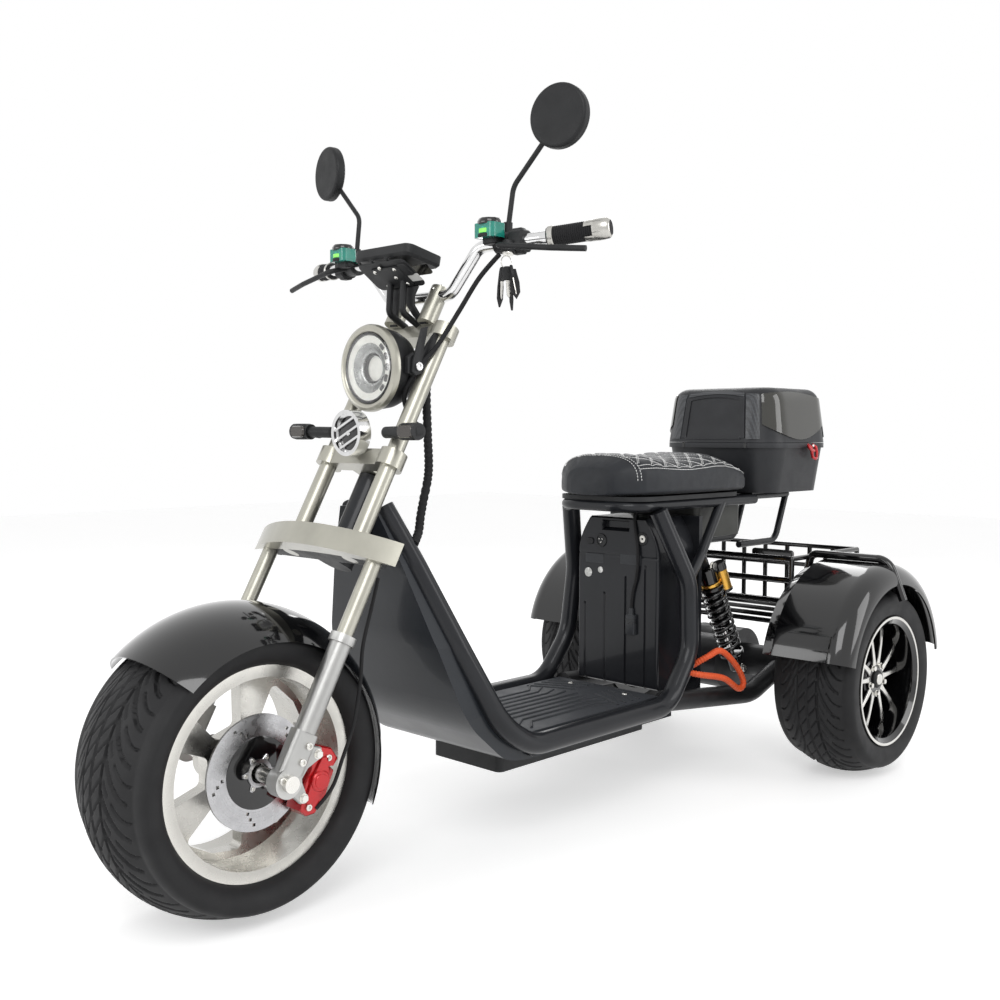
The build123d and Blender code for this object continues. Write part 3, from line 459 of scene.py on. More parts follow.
def bolt(shape, origin, direction, radius, height, kind="socket"):
    """One bolt head that stands on a surface."""
    shape.aim(origin, direction)
    if kind == "hex":
        shape.drum(radius * 1.25, -0.5, height * 0.15, 20, 0.2)
        corners = [(radius * cos(pi / 3 * k), radius * sin(pi / 3 * k)) for k in range(6)]
        shape.prism(corners, 0, height, 0.4)
    elif kind == "round":
        dome = [(radius * cos(pi / 10 * k), height * sin(pi / 10 * k)) for k in range(5)]
        shape.lathe([(radius, -0.5)] + dome + [(TIP, height)], 20)
    else:
        inner = radius * 0.52
        shape.lathe([(TIP, height * 0.45), (inner, height * 0.45), (inner, height), (radius - 0.5, height),
                     (radius, height - 0.5), (radius, -0.5)], 24)


def solid(node):
    """Surface of a node, to cast rays on."""
    piece = NODES[node]
    points = [piece.matrix_world @ v.co for v in piece.data.vertices]
    return BVHTree.FromPolygons(points, [tuple(p.vertices) for p in piece.data.polygons])


def hit(surface, origin, direction):
    """Point where a ray meets a surface and the surface's normal there, or nothing."""
    return surface.ray_cast(Vector(origin), Vector(direction).normalized())[:2]


def seated(name, body, node, rows):
    """Bolt heads where rays from outside meet a node: origin, direction, radius, height, kind."""
    surface = solid(node)
    shape = Shape(name, body, "zinc")
    for origin, direction, *size in rows:
        point = hit(surface, origin, direction)[0]
        if point is not None:
            bolt(shape, point, -Vector(direction), *size)
    shape.done()


# Tyres

TREAD_DEPTH = 4.2
TREAD_STEPS = 700
CROWN_STEPS = 84
WALL_STEPS = 8
SHOULDER_HALF, SHOULDER_R = 0.78, 0.91  # shares of the tyre's half width and radius
BEAD_INSET = 6.2
BEAD_LIP = 11
# Piece, node, body, rim's flange radius and width, pitches of the tread
TYRES = (
    ("front_tyre_tread", "front_tyre", "front_wheel", 170, 164, 26),
    ("left_tyre_tread", "rear_tyre_left", "rear_wheel_left", 145, 180, 22),
    ("right_tyre_tread", "rear_tyre_right", "rear_wheel_right", 145, 180, 22),
)


def groove(distance, width, depth):
    """Depth of a groove whose walls lean, at a distance from its line."""
    edge = max(0.0, min(1.0, (distance - width / 2) / 1.2))
    return depth * (1 - edge * edge * (3 - 2 * edge))


def nearest(run, pitch, shift=0.5):
    """Distance along the tread to the nearest of lines a pitch apart."""
    return abs((run / pitch + shift) % 1.0 - 0.5) * pitch


def tread(radius, half, pitches, angle, across):
    """Depth of the tread's grooves at an angle and a place across, from -1 to 1."""
    side = 1 if across >= 0 else -1
    v = abs(across)
    pitch = 2 * pi * radius / pitches
    run = angle * radius + (0.5 * pitch if side < 0 else 0.0)
    depth = 0.0
    for line, width in ((0.0, 3.0), (0.3, 3.4)):
        depth = max(depth, groove(abs(v - line) * half, width, TREAD_DEPTH))
    if 0.04 < v < 0.28:
        sipe = nearest(run - v * half * 1.3 * side, pitch / 2)
        depth = max(depth, groove(sipe * 0.55, 1.6, 0.7 * TREAD_DEPTH))
    if v > 0.3:
        rest = max(1 - (v - 0.3) / 0.62, 0.0)
        lean = run - pitch * 1.25 * rest ** 1.8
        slope = 1 / sqrt(1 + (pitch * 2.25 * rest ** 0.8 / (0.62 * half)) ** 2)
        if v < 0.9:
            depth = max(depth, groove(nearest(lean, pitch) * slope, 4.2, TREAD_DEPTH))
        if 0.55 < v < 0.98:
            depth = max(depth, groove(nearest(lean, pitch, 1.0) * slope, 2.2, 0.8 * TREAD_DEPTH))
        if 0.36 < v < 0.5:
            depth = max(depth, groove(nearest(lean, pitch / 2) * slope, 1.6, 0.5 * TREAD_DEPTH))
    return depth * max(0.0, min(1.0, (1.0 - v) / 0.06))


def tyres():
    """Tyres with a crowned tread of cut grooves, replacing the plain rings."""
    for name, node, body, flange_r, rim_w, pitches in TYRES:
        low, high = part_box(node)
        radius = (high.z - low.z) / 2 / MM
        half = (high.y - low.y) / 2 / MM
        bead_half = rim_w / 2 - BEAD_INSET
        shoulder_half = SHOULDER_HALF * half
        shoulder_r = SHOULDER_R * radius
        bulge_r = (radius + flange_r) / 2
        crown_sag = radius - shoulder_r
        arc_r = (shoulder_half ** 2 + crown_sag ** 2) / (2 * crown_sag)
        arc_half = asin(shoulder_half / arc_r)
        crown = [-1 + 2 * k / CROWN_STEPS for k in range(CROWN_STEPS + 1)]
        quarter = [pi / 2 * k / WALL_STEPS for k in range(1, WALL_STEPS + 1)]
        wall = [(shoulder_half + (half - shoulder_half) * sin(a), bulge_r + (shoulder_r - bulge_r) * cos(a))
                for a in quarter]
        wall += [(bead_half + (half - bead_half) * cos(a), bulge_r - (bulge_r - flange_r) * sin(a))
                 for a in quarter]
        wall.append((bead_half, flange_r - BEAD_LIP))
        rows = []
        for angle in (2 * pi * n / TREAD_STEPS for n in range(TREAD_STEPS)):
            ring = [(-y, r) for y, r in reversed(wall)]
            for t in crown:
                a = arc_half * t
                cut = tread(radius, shoulder_half, pitches, angle, t)
                ring.append((arc_r * sin(a) - cut * sin(a), radius - arc_r * (1 - cos(a)) - cut * cos(a)))
            rows.append([(r * cos(angle), y, r * sin(angle)) for y, r in ring + wall])
        shape = Shape(name, body, "tyre").put(Matrix.Translation(middle(node)))
        shape.skin(rows, along=True).done(50, "rubber", [node])


# Headlight, horn and turn signals, in millimetres from the rear axle

LAMP = (1149.0, 0.0, 883.0)
HORN_X, HORN_Z = 1194.6, 768.8
SIGNAL_X, SIGNAL_Z = 1166.0, 770.0
# Outlines of (x, z)
LAMP_EAR = ((1122, 872), (1122, 900), (1108, 908), (1094, 900), (1094, 876), (1106, 868))
LAMP_BRACKET = ((1118, 874), (1116, 894), (1096, 950), (1082, 954), (1094, 910), (1082, 926), (1062, 948),
                (1052, 940), (1076, 906), (1098, 872), (1110, 868))


def headlight():
    """Bowl between two brackets, ringed face with its reflectors in painted glow, and the glass."""
    front = turned(at(*LAMP), X)
    bowl = Shape("headlight_bowl_dressed", "steering", "black_plastic").put(front)
    bowl.lathe([(66, -13), (71, -15), (71.5, -34), (69, -50), (62, -66), (48, -79), (26, -86), (TIP, -88)], 72)
    for side in SIDES:
        for y, outline, thick, edge in ((76, LAMP_EAR, 12, 2), (86, LAMP_BRACKET, 5, 1)):
            bowl.aim(at(0, side * y, 0), Y, X).prism([(x, -z) for x, z in outline], -thick / 2, thick / 2, edge)
    bowl.done(30, "black_gloss", ["headlight_bowl"])
    face = Shape("headlight_face", "steering", "champagne", "gloss_black", "reflector_painted_glow", "lamp_grey", "chrome")
    face.put(front)
    face.ring([(62, -7), (64, -3.5), (67, -1.5), (70, -1), (75, -4), (77, -8), (77, -14), (72, -16), (62, -14)])
    face.use(1).ring([(57, -11), (57, -6), (60, -4.5), (62.2, -4.5), (62.2, -11)])
    # reflector ring, shining with painted glow
    face.use(2).ring([(44, -13), (44, -8), (50, -6.6), (57, -7), (57, -13)])
    face.use(3).ring([(44, -8.5), (38, -12), (31, -18), (27, -26), (26, -34), (24, -34), (27, -16), (44, -13)])
    face.use(1).ring([(26.5, -30), (26.5, -20), (24.5, -18.5), (22.5, -20), (22.5, -30)], 72)
    # middle of the reflector, shining with painted glow
    face.use(2).lathe([(TIP, -20), (9, -20.6), (17, -22.4), (22.6, -25), (22.6, -30), (TIP, -30)], 72)
    face.use(1)
    for k in range(5):
        face.put(front @ Matrix.Rotation(radians(-134 + 22 * k), 4, "Z"))
        face.slab((7, 13, 3), (50.5, 0, -6.6), 2.2, 0.6)
    face.use(4)
    for side in SIDES:
        bolt(face, at(1106, side * 88.5, 884), side * Y, 7.5, 5)
    face.done(32, "lens", ["headlight_lens"])
    Shape("headlight_glass", "steering", "lens").put(front).lathe(
        [(TIP, -1.6), (30, -2.0), (52, -3.0), (62, -4.2), (62, -5.6), (52, -4.4), (30, -3.4), (TIP, -3.0)],
        72).done(40, "lens")


def horn_and_signals():
    """Horn's dark inside and back, and signals on ribbed stalks."""
    inside = Shape("horn_inside", "steering", "gloss_black", "chrome")
    inside.aim(at(HORN_X - 8, 0, HORN_Z), X).lathe([(TIP, 2.2), (16, 1.6), (31, 0.3), (32.6, 0.05)], 48)
    inside.use(1).drum(5, 1.5, 4, 20, 0.8)
    inside.aim(at(HORN_X - 24, 0, HORN_Z), -X)
    inside.lathe([(36, 0), (34, 5), (24, 12), (12, 15), (TIP, 15.5)], 48)
    inside.done(35, "chrome")
    lens = Shape("signal_lenses", "steering", "smoked", "black_plastic")
    for side in SIDES:
        lens.use(0).aim(at(SIGNAL_X + 10, side * 148, SIGNAL_Z + 1.5), X, side * Y)
        lens.prism(rounded(40, 21, 9), 4, 15.5, 2.4)
        lens.use(1).prism(rounded(47, 29, 12), -9, 9, 2.5)
        lens.aim(at(SIGNAL_X + 4, side * 104, SIGNAL_Z), (0.12, side, 0))
        for k in range(4):
            lens.drum(10.6 - 0.5 * k, 6 * k, 6 * k + 4, 28, 1.2)
    lens.done(35, "black_plastic")


# Instrument, handlebar and controls

BAR_X, BAR_Z = 1019.8, 1013.8  # middle of the handlebar
GRIP_START = (-20, 277, 80)
GRIP_END = (-65, 381, 90)
DISPLAY_TILT = radians(34.0)
DISPLAY_UP = Vector((-sin(DISPLAY_TILT), 0, cos(DISPLAY_TILT)))
DISPLAY_ALONG = Vector((cos(DISPLAY_TILT), 0, sin(DISPLAY_TILT)))


def from_bar(ahead, y, up):
    """Point given from the middle of the handlebar, in millimetres from the rear axle."""
    return BAR_X + ahead, y, BAR_Z + up


def on_display(a, y, c):
    """Point in the instrument's own axes: toward its front edge, left and out of its screen."""
    cx, cy, cz = from_bar(62, 0, 48)
    co = cos(DISPLAY_TILT)
    si = sin(DISPLAY_TILT)
    return at(cx + a * co - c * si, cy + y, cz + a * si + c * co)


def instrument():
    """Screen with its keys, the case's back with screws and a blank label, and the case's fork."""
    trim = Shape("instrument_trim", "steering", "screen", "black_plastic", "label", "zinc", "lamp_grey")
    trim.aim(on_display(0, 0, 13), DISPLAY_UP, DISPLAY_ALONG).prism(rounded(74, 128, 10), -0.4, 0.7, 0.4)
    trim.use(4)
    for k in range(3):
        trim.slab((5, 14, 0.5), (-30, -36 + 36 * k, 0.9), 2, 0.15)
    trim.aim(on_display(0, 0, -13), -DISPLAY_UP, DISPLAY_ALONG)
    trim.use(1).prism(rounded(70, 126, 12), -0.6, 2.2, 1.0)
    trim.slab((52, 78, 4), (-4, 0, 3.6), 9, 1.2)
    trim.slab((30, 24, 4), (10, -48, 2.6), 6, 1.2)
    trim.use(2).slab((18, 33, 0.8), (-12, -50, 2.5), 1.5, 0.3)
    trim.use(3)
    for a, y in ((16, -26), (16, 26), (-22, -26), (-22, 26), (24, -6), (-4, 12)):
        bolt(trim, on_display(a, y, -18.5), -DISPLAY_UP, 4.2, 2.6, "round")
    trim.use(1)
    for y in (-52, -18, 22):
        bolt(trim, on_display(38, y, -12.5), -DISPLAY_UP, 4, 2.4, "round")
    trim.done(35, "black_plastic")
    fork = Shape("instrument_fork", "steering", "black_plastic").origin()
    top, foot = Vector(from_bar(42, 0, 16)), Vector(from_bar(28, 0, -50))
    for side in SIDES:
        rows = []
        for t, y, spread in ((0, 24, 16), (0.25, 20, 11), (0.5, 22, 8), (0.75, 30, 8), (1, 41, 9)):
            a = top.lerp(foot, t)
            x = a.x + 8 * sin(pi * t)
            rows.append([(x + du, side * y + dy, a.z)
                         for du, dy in ((-3, -spread), (3, -spread), (3, spread), (-3, spread))])
        fork.loft(rows)
    fork.done(35, "black_metal")


def bar_bolts():
    """Bolts of the handlebar's risers and of the reservoirs' lids."""
    shape = Shape("bar_bolts", "steering", "zinc")
    for side in SIDES:
        for ahead, up in ((-11, 18), (11, 12)):
            bolt(shape, at(*from_bar(ahead, side * 45, up)), (-0.48, 0, 0.87), 4.4, 3.6)
        bolt(shape, at(*from_bar(-2, side * 196, 99)), Z, 4, 3, "round")
        bolt(shape, at(*from_bar(8, side * 214, 92)), (0.3, 0, 1), 4, 3, "round")
    shape.done()


def grip_line(side):
    """Start and end of the grip on one side."""
    return (Vector(from_bar(ahead, side * y, up)) for ahead, y, up in (GRIP_START, GRIP_END))


def grips():
    """Ribbed grips with a metal collar, three clamps and a metal end each."""
    grip = Shape("grips_dressed", "steering", "rubber", "polished")
    for side in SIDES:
        start, end = grip_line(side)
        long = (end - start).length
        profile = [(11.3, 12), (15.5, 12), (15.8, 14)]
        z = 24.0
        while z < long - 22:
            profile += [(15.6, z), (16.5, z + 1.0), (16.5, z + 2.4), (15.6, z + 3.2)]
            z += 3.6
        profile += [(15.6, long - 20), (11.3, long - 20)]
        grip.aim(at(*start), end - start).use(0).ring(profile, 40)
        grip.use(1).ring([(12, 14), (17, 14), (18, 15.4), (18, 22), (17, 23.4), (12, 23.4)], 40)
        cap = long + 7
        for k in range(3):
            grip.ring([(12, long - 36), (16.9, long - 36), (17.6, long - 30), (17.8, long - 20), (12, long - 20)],
                      10, start=120 * k + 10, sweep=62)
        grip.lathe([(12, long - 22), (17.6, long - 22), (18.2, long - 14), (18, long - 6), (16.8, cap - 4),
                    (14.4, cap - 0.8), (12.5, cap)])
        grip.use(0).lathe([(12.6, cap - 0.4), (10, cap - 0.2), (TIP, cap)], 32)
    grip.done(35, "rubber", ["grips"])


def fluid_cups():
    """Lid, foot, sight strip and perch of each brake fluid reservoir."""
    cups = Shape("fluid_cups", "steering", "gloss_black", "fluid", "black_plastic")
    for side in SIDES:
        x, y, z = from_bar(22, side * 198, 96)
        cups.use(0).origin(x, y, z).lathe([(20.4, 10), (21, 11), (21, 16), (18, 20.6), (6, 21), (TIP, 21)], 10)
        cups.use(2).lathe([(19.7, -12), (20.4, -11), (20.4, -6.5), (19.3, -5.5)], 40)
        # sight strip of fluid, shining with painted glow
        cups.use(1).lathe([(19.3, -4.5), (19.5, -4), (19.5, 2), (19.3, 2.5)], 14, start=-25, sweep=70)
        cups.use(2).origin(x - 12, y, z - 14).slab((34, 30, 16), (0, 0, 0), 6, 2)
    cups.done(35, "reservoir_green")


def switches():
    """Switch block beside each grip."""
    switch = Shape("switch_blocks", "steering", "black_plastic", "red", "lamp_grey")
    for side in SIDES:
        start = Vector(from_bar(0, side * 152, 77))
        end = next(grip_line(side))
        switch.use(0).aim(at(*start.lerp(end, 0.66)), end - start)
        switch.prism(rounded(37, 35, 9), -15, 15, 3)
        switch.prism(rounded(44, 22, 6), -11, 9, 2)
        switch.use(1 if side < 0 else 2).slab((4, 13, 10), (19.5, 0, 2), 2, 1)
    switch.done(35, "black_plastic")


def mirrors():
    """Mirror glasses in their rims, and the boots of the stems."""
    trim = Shape("mirror_glasses", "steering", "mirror", "black_plastic")
    for side in SIDES:
        toe = radians(12 * side)
        trim.aim(at(*from_bar(-29, side * 307, 277)), (-cos(toe), -sin(toe), 0))
        trim.use(1).lathe([(47, 10.2), (50, 12), (52.6, 10), (53, 7), (52, 6)], 64)
        trim.use(0).lathe([(47.5, 10.4), (30, 10.7), (TIP, 10.9)], 64)
        trim.use(1).aim(at(*from_bar(-29, side * 290, 258)), (0.1, side, 0.8)).drum(8, -14, 2, 28, 2.5)
    trim.done(35, "black_plastic")


KEY_BLADE = ((-3.4, 20), (3.4, 20), (3.4, 46), (0.5, 51), (-2.0, 48), (-1.2, 44), (-3.0, 41), (-1.6, 37),
             (-3.2, 34), (-1.8, 30), (-3.4, 27))
# Lean, twist and place across of each key; the fobs have a length too
KEYS = ((-0.10, 0.3, -7), (0.16, -0.6, 3), (0.42, 0.9, 12))
FOBS = ((-0.02, 0.2, -14, 62), (0.12, 1.0, 6, 70), (0.2, -0.5, 14, 52))


def keys():
    """Keys and fobs on their ring under the left perch."""
    ring = Shape("key_ring", "steering", "zinc", "black_plastic", "rubber", "polished")
    x, y, z = from_bar(10, 226, 50)
    ring.use(1).aim(at(x - 4, y, z + 14), (0.2, 0.1, -1)).drum(13, -14, 6, 32, 2)
    ring.use(0).drum(10, 6, 9, 32, 1)
    loop = [(11 * cos(a), 11 * sin(a), 0) for a in (2 * pi * k / 28 for k in range(29))]
    ring.aim(at(x, y, z - 8), (0.2, 1, 0)).tube(loop, 0.9, 8, False)

    def hang(head, down, twist):
        """Work from a key's head, its blade hanging down and turned by a twist."""
        ring.put(turned(at(*head), down, (cos(twist), sin(twist), 0)) @ Matrix.Rotation(pi / 2, 4, "X"))

    for lean, twist, dy in KEYS:
        hang((x + 2, y + dy, z - 18), (lean * 0.4, lean, -1), twist)
        ring.use(1).prism([(u, v + 9) for u, v in rounded(17, 24, 6)], -2.2, 2.2, 0.8)
        ring.use(3).prism(KEY_BLADE, -0.9, 0.9, 0.3)
    for lean, twist, dy, long in FOBS:
        hang((x - 2, y + dy, z - 20), (0.05, lean, -1), twist)
        ring.use(2).prism([(-4, 0), (4, 0), (8, long * 0.45), (7.5, long * 0.78), (0, long), (-7.5, long * 0.78),
                           (-8, long * 0.45)], -1.8, 1.8, 0.8)
    ring.done(35, "steel")


# Seat

# Place ahead of the rear axle, half width, height of the top
SEAT_TABLE = (
    (536, 34, 674), (534, 50, 684), (529, 68, 699), (520, 86, 712), (506, 102, 721), (486, 117, 726),
    (455, 129, 727), (420, 135, 722), (380, 137, 718), (340, 138, 716), (290, 138, 721), (240, 137, 727),
    (200, 136, 726), (160, 133, 716), (120, 127, 702), (95, 118, 690), (80, 106, 677), (74, 92, 664),
)
SEAT_MIDDLE = 660
SEAT_BASE = 637
SEAT_STEPS = 170
SEAT_AROUND = 190
SEAT_CROWN = 3.0  # roundness above and below the middle
SEAT_FLANK = 6.0
NOSE_SEAM = 497
SIDE_SEAM = 0.92  # share of the half width
SEAM_WIDTH = 2.5
SIDE_SEAM_DEPTH = 2.4
QUILT_PITCH = 47
QUILT_LEAN = 1.15
QUILT_DEPTH = 3.0
QUILT_WIDTH = 3.4
QUILT_SQUARE = 0.66  # distance square to a channel, for each of its run along the seat


def seat_at(x):
    """Half width and top of the seat at a place along it."""
    rows = SEAT_TABLE
    if x >= rows[0][0]:
        return rows[0][1:]
    for (xa, wa, za), (xb, wb, zb) in zip(rows, rows[1:]):
        if x >= xb:
            t = (xa - x) / (xa - xb)
            return wa + (wb - wa) * t, za + (zb - za) * t
    return rows[-1][1:]


def quilt(x, across, half):
    """Depth of the sewn channels at a place along and across the seat."""
    depth = groove(abs(x - NOSE_SEAM), SEAM_WIDTH, QUILT_DEPTH)
    if x < NOSE_SEAM:
        depth = max(depth, groove(abs(abs(across) - SIDE_SEAM * half), SEAM_WIDTH, SIDE_SEAM_DEPTH))
        if abs(across) < SIDE_SEAM * half:
            for lean in SIDES:
                gap = nearest(x + lean * across * QUILT_LEAN, QUILT_PITCH) * QUILT_SQUARE
                depth = max(depth, QUILT_DEPTH * exp(-(gap / QUILT_WIDTH) ** 2))
    return depth


def seat_top(x, y):
    """Height of the smooth seat at a place on its top."""
    half, top = seat_at(x)
    share = min(0.999, abs(y) / half)
    return SEAT_MIDDLE + (top - SEAT_MIDDLE) * (1 - share ** SEAT_CROWN) ** (1 / SEAT_CROWN)


def seat():
    """Leather of the seat, quilted, with a rounded nose and tail."""
    length = SEAT_TABLE[0][0] - SEAT_TABLE[-1][0]
    rows = []
    for t in (i / SEAT_STEPS for i in range(SEAT_STEPS + 1)):
        t = 0.5 - 0.5 * cos(pi * t) if t < 0.08 or t > 0.92 else t
        x = SEAT_TABLE[0][0] - length * t
        half, top = seat_at(x)
        ring = []
        for a in (2 * pi * k / SEAT_AROUND for k in range(SEAT_AROUND)):
            c, s = cos(a), sin(a)
            power = 2 / (SEAT_CROWN if s > 0 else SEAT_FLANK)
            y = half * copysign(abs(c) ** power, c)
            if s > 0:
                depth = quilt(x, y, half) * min(1.0, s * 3)
                ring.append((x, y - depth * c, SEAT_MIDDLE + (top - SEAT_MIDDLE) * s ** power - depth * s))
            else:
                ring.append((x, y, SEAT_MIDDLE - (SEAT_MIDDLE - SEAT_BASE) * abs(s) ** power))
        rows.append(ring)
    cushion = Shape("seat_leather", "seat", "leather").origin().skin(rows, around=True)
    for row, way in ((rows[0], 1), (rows[-1], -1)):
        mid = (row[SEAT_AROUND // 4][2] + SEAT_BASE) / 2
        inner = [(x + 2.4 * way, y * 0.55, mid + (z - mid) * 0.55) for x, y, z in row]
        cushion.skin([row, inner], around=True).faces(inner, [tuple(range(SEAT_AROUND))])
    piece = cushion.done(60, "seat_leather", ["seat_cushion"])


STITCH = 4.2
STITCH_GAP = 1.8
SEAM_ROWS = (-3.4, 3.4)
QUILT_ROWS = (-2.6, 2.6)
THREAD = (0.35, 0.75, 0.85, 0.75, 0.35)  # radii along a stitch
NOSE_THREAD = (0.35, 0.85, 0.85, 0.35)
NOSE_STEPS = 400


def stitches():
    """Double rows of white thread beside each sewn channel."""
    thread = Shape("seat_stitches", "seat", "thread").origin()

    def on_leather(x, y):
        """Point of the sewn seat at a place on its top."""
        return Vector((x, y, seat_top(x, y) + 0.1 - quilt(x, y, seat_at(x)[0])))

    def sew(path):
        """Short stitches along a path of (x, y)."""
        run = 0.0
        start = None
        for (xa, ya), (xb, yb) in zip(path, path[1:]):
            run += hypot(xb - xa, yb - ya)
            start = start or (xa, ya)
            if run >= STITCH:
                a, b = on_leather(*start), on_leather(xb, yb)
                m = (a + b) / 2 + Vector((0, 0, 0.35))
                thread.tube([a, a.lerp(m, 0.6), m, b.lerp(m, 0.6), b], THREAD, 6)
                run = -STITCH_GAP
                start = None

    for off in SEAM_ROWS:
        x = NOSE_SEAM + off
        half, top = seat_at(x)
        ring = []
        for k in range(NOSE_STEPS):
            a = pi * (0.02 + 0.96 * k / (NOSE_STEPS - 1))
            c, s = cos(a), sin(a)
            y = half * copysign(abs(c) ** (2 / SEAT_CROWN), c) + 0.3 * c
            point = Vector((x, y, SEAT_MIDDLE + (top - SEAT_MIDDLE) * s ** (2 / SEAT_CROWN) + 0.3 * s))
            if not ring or (point - ring[-1]).length > 3.0:
                ring.append(point)
        for k in range(0, len(ring) - 2, 2):
            a, b = ring[k], ring[k + 1].lerp(ring[k + 2], 0.35)
            thread.tube([a, a.lerp(b, 0.3), a.lerp(b, 0.7), b], NOSE_THREAD, 6)
        for side in SIDES:
            sew([(x, side * (SIDE_SEAM * seat_at(x)[0] + off * 0.9)) for x in range(NOSE_SEAM - 4, 88, -1)])
    for lean in SIDES:
        for n in range(-6, 18):
            for off in QUILT_ROWS:
                path = []
                for y in map(float, range(-135, 136)):
                    x = (n * QUILT_PITCH) - lean * y * QUILT_LEAN + off
                    if 88 < x < NOSE_SEAM - 5 and abs(y) < SIDE_SEAM * seat_at(x)[0] - 4:
                        path.append((x, y))
                    elif path:
                        sew(path)
                        path = []
                sew(path)
    thread.done(60, "seat_leather")


# Top box

LID_MIDDLE = (-94.0, 0.0)


def between(values, t):
    """Curve through three values, at 0, a half and 1."""
    return values[0] * (1 - t) * (1 - 2 * t) + values[1] * 4 * t * (1 - t) + values[2] * t * (2 * t - 1)


def lid_patch(shape, surface, start, end, low, high, lift, steps, rises):
    """Shell on the lid between two bearings and two heights, each height given at the ends and the middle."""
    rows = []
    for t in (i / steps for i in range(steps + 1)):
        bearing = radians(start + (end - start) * t)
        bottom, top = between(low, t), between(high, t)
        out = Vector((cos(bearing), sin(bearing), 0))
        skin = []
        for k in range(rises + 1):
            centre = at(*LID_MIDDLE, bottom + (top - bottom) * k / rises)
            point, normal = hit(surface, centre + out * 0.5, -out)
            if point is None:
                point, normal = centre + out * 0.08, Z
            skin.append((point, normal if normal.dot(out) >= 0 else -normal))
        rows.append([tuple((p + n * lift * MM) / MM) for p, n in skin]
                    + [tuple((p - n * 1.2 * MM) / MM) for p, n in reversed(skin)])
    shape.put(Matrix.Identity(4)).loft(rows)


def top_box():
    """Smoked visor, carbon strips and raised frames of the lid."""
    lid = solid("box_lid")
    visor = Shape("lid_visor", "top_box_lid", "visor")
    strip = Shape("lid_carbon", "top_box_lid", "carbon")
    frames = Shape("lid_frames", "top_box_lid", "box_grey", "gloss_black")
    for side in SIDES:
        lid_patch(visor, lid, side * 43, side * 124, (792, 756, 794), (864, 870, 858), 3.2, 40, 10)
        lid_patch(strip, lid, side * 31.5, side * 41.5, (757, 757, 757), (866, 866, 864), 1.6, 8, 14)
        lid_patch(frames, lid, side * 26.5, side * 30.5, (760, 760, 760), (856, 857, 858), 2.6, 5, 12)
        lid_patch(frames, lid, side * 126, side * 131, (762, 762, 762), (852, 852, 850), 2.4, 5, 12)
    lid_patch(strip, lid, -30, 30, (859, 866, 859), (868, 873, 868), 1.5, 40, 4)
    lid_patch(frames, lid, -27, 27, (851, 858, 851), (857, 863.5, 857), 2.6, 36, 4)
    lid_patch(frames, lid, -27, 27, (756, 756, 756), (761, 761, 761), 2.6, 36, 3)
    lid_patch(frames, lid, 132, 228, (756, 756, 756), (761, 761, 761), 2.4, 40, 3)
    visor.done(40, "lens")
    strip.done(40, "box_grey")
    frames.use(1)
    for y in (-83, 93):
        frames.aim(at(61.2, y, 742), X, Y).slab((7, 12, 1.6), (0, 0, 0), 2, 0.4)
    frames.done(35, "box_grey")


def latch_lever():
    """Red lever that hooks the lid on the box's left side."""
    lever = Shape("latch_lever", "top_box_lid", "red", "zinc").origin()
    for dx in SIDES:
        lever.tube([(-124 + 12 * dx, 163, 744), (-126 + 12 * dx, 171, 738), (-130 + 12 * dx, 172, 724),
                    (-134 + 10 * dx, 171, 712)], [3.4, 4.2, 4.0, 3.2], 10)
    lever.tube([(-146, 171, 712), (-134, 172.5, 709), (-122, 171, 713)], [3, 4.4, 3], 10)
    lever.tube([(-128, 172, 729), (-112, 173, 731), (-100, 174, 737), (-95, 174, 743)], [4, 4, 3.6, 2.4], 10)
    bolt(lever.use(1), at(-124, 172, 741), Y, 4, 2.5, "round")
    lever.done(40, "red")


# Battery

# Across and top of each groove of the battery's face
BATTERY_GROOVES = ((-91, 384), (-35, 411), (24, 452), (78, 477))
BATTERY_SEAM = 500
BATTERY_WAIST = 510
BATTERY_TOP = 584
BATTERY_HALF = 112
BATTERY_TOP_HALF = 78
BATTERY_EDGE = 6
BATTERY_ACROSS = 180
BATTERY_RISES = 110
HANDLE = (-5, 566.5, 38, 10.5, 14.0)  # recess: middle, half sizes and depth


def battery_cut(y, z):
    """Depth of the grooves, the seam and the handle's recess in the battery's face."""
    depth = groove(abs(z - BATTERY_SEAM), 1.6, 1.8)
    for across, top in BATTERY_GROOVES:
        gap = abs(y - across) if z < top else hypot(y - across, z - top)
        depth = max(depth, groove(gap, 3.6, 3.2))
    outside = max(abs(y - HANDLE[0]) - HANDLE[2], abs(z - HANDLE[1]) - HANDLE[3])
    return max(depth, min(HANDLE[4], -outside * 5))


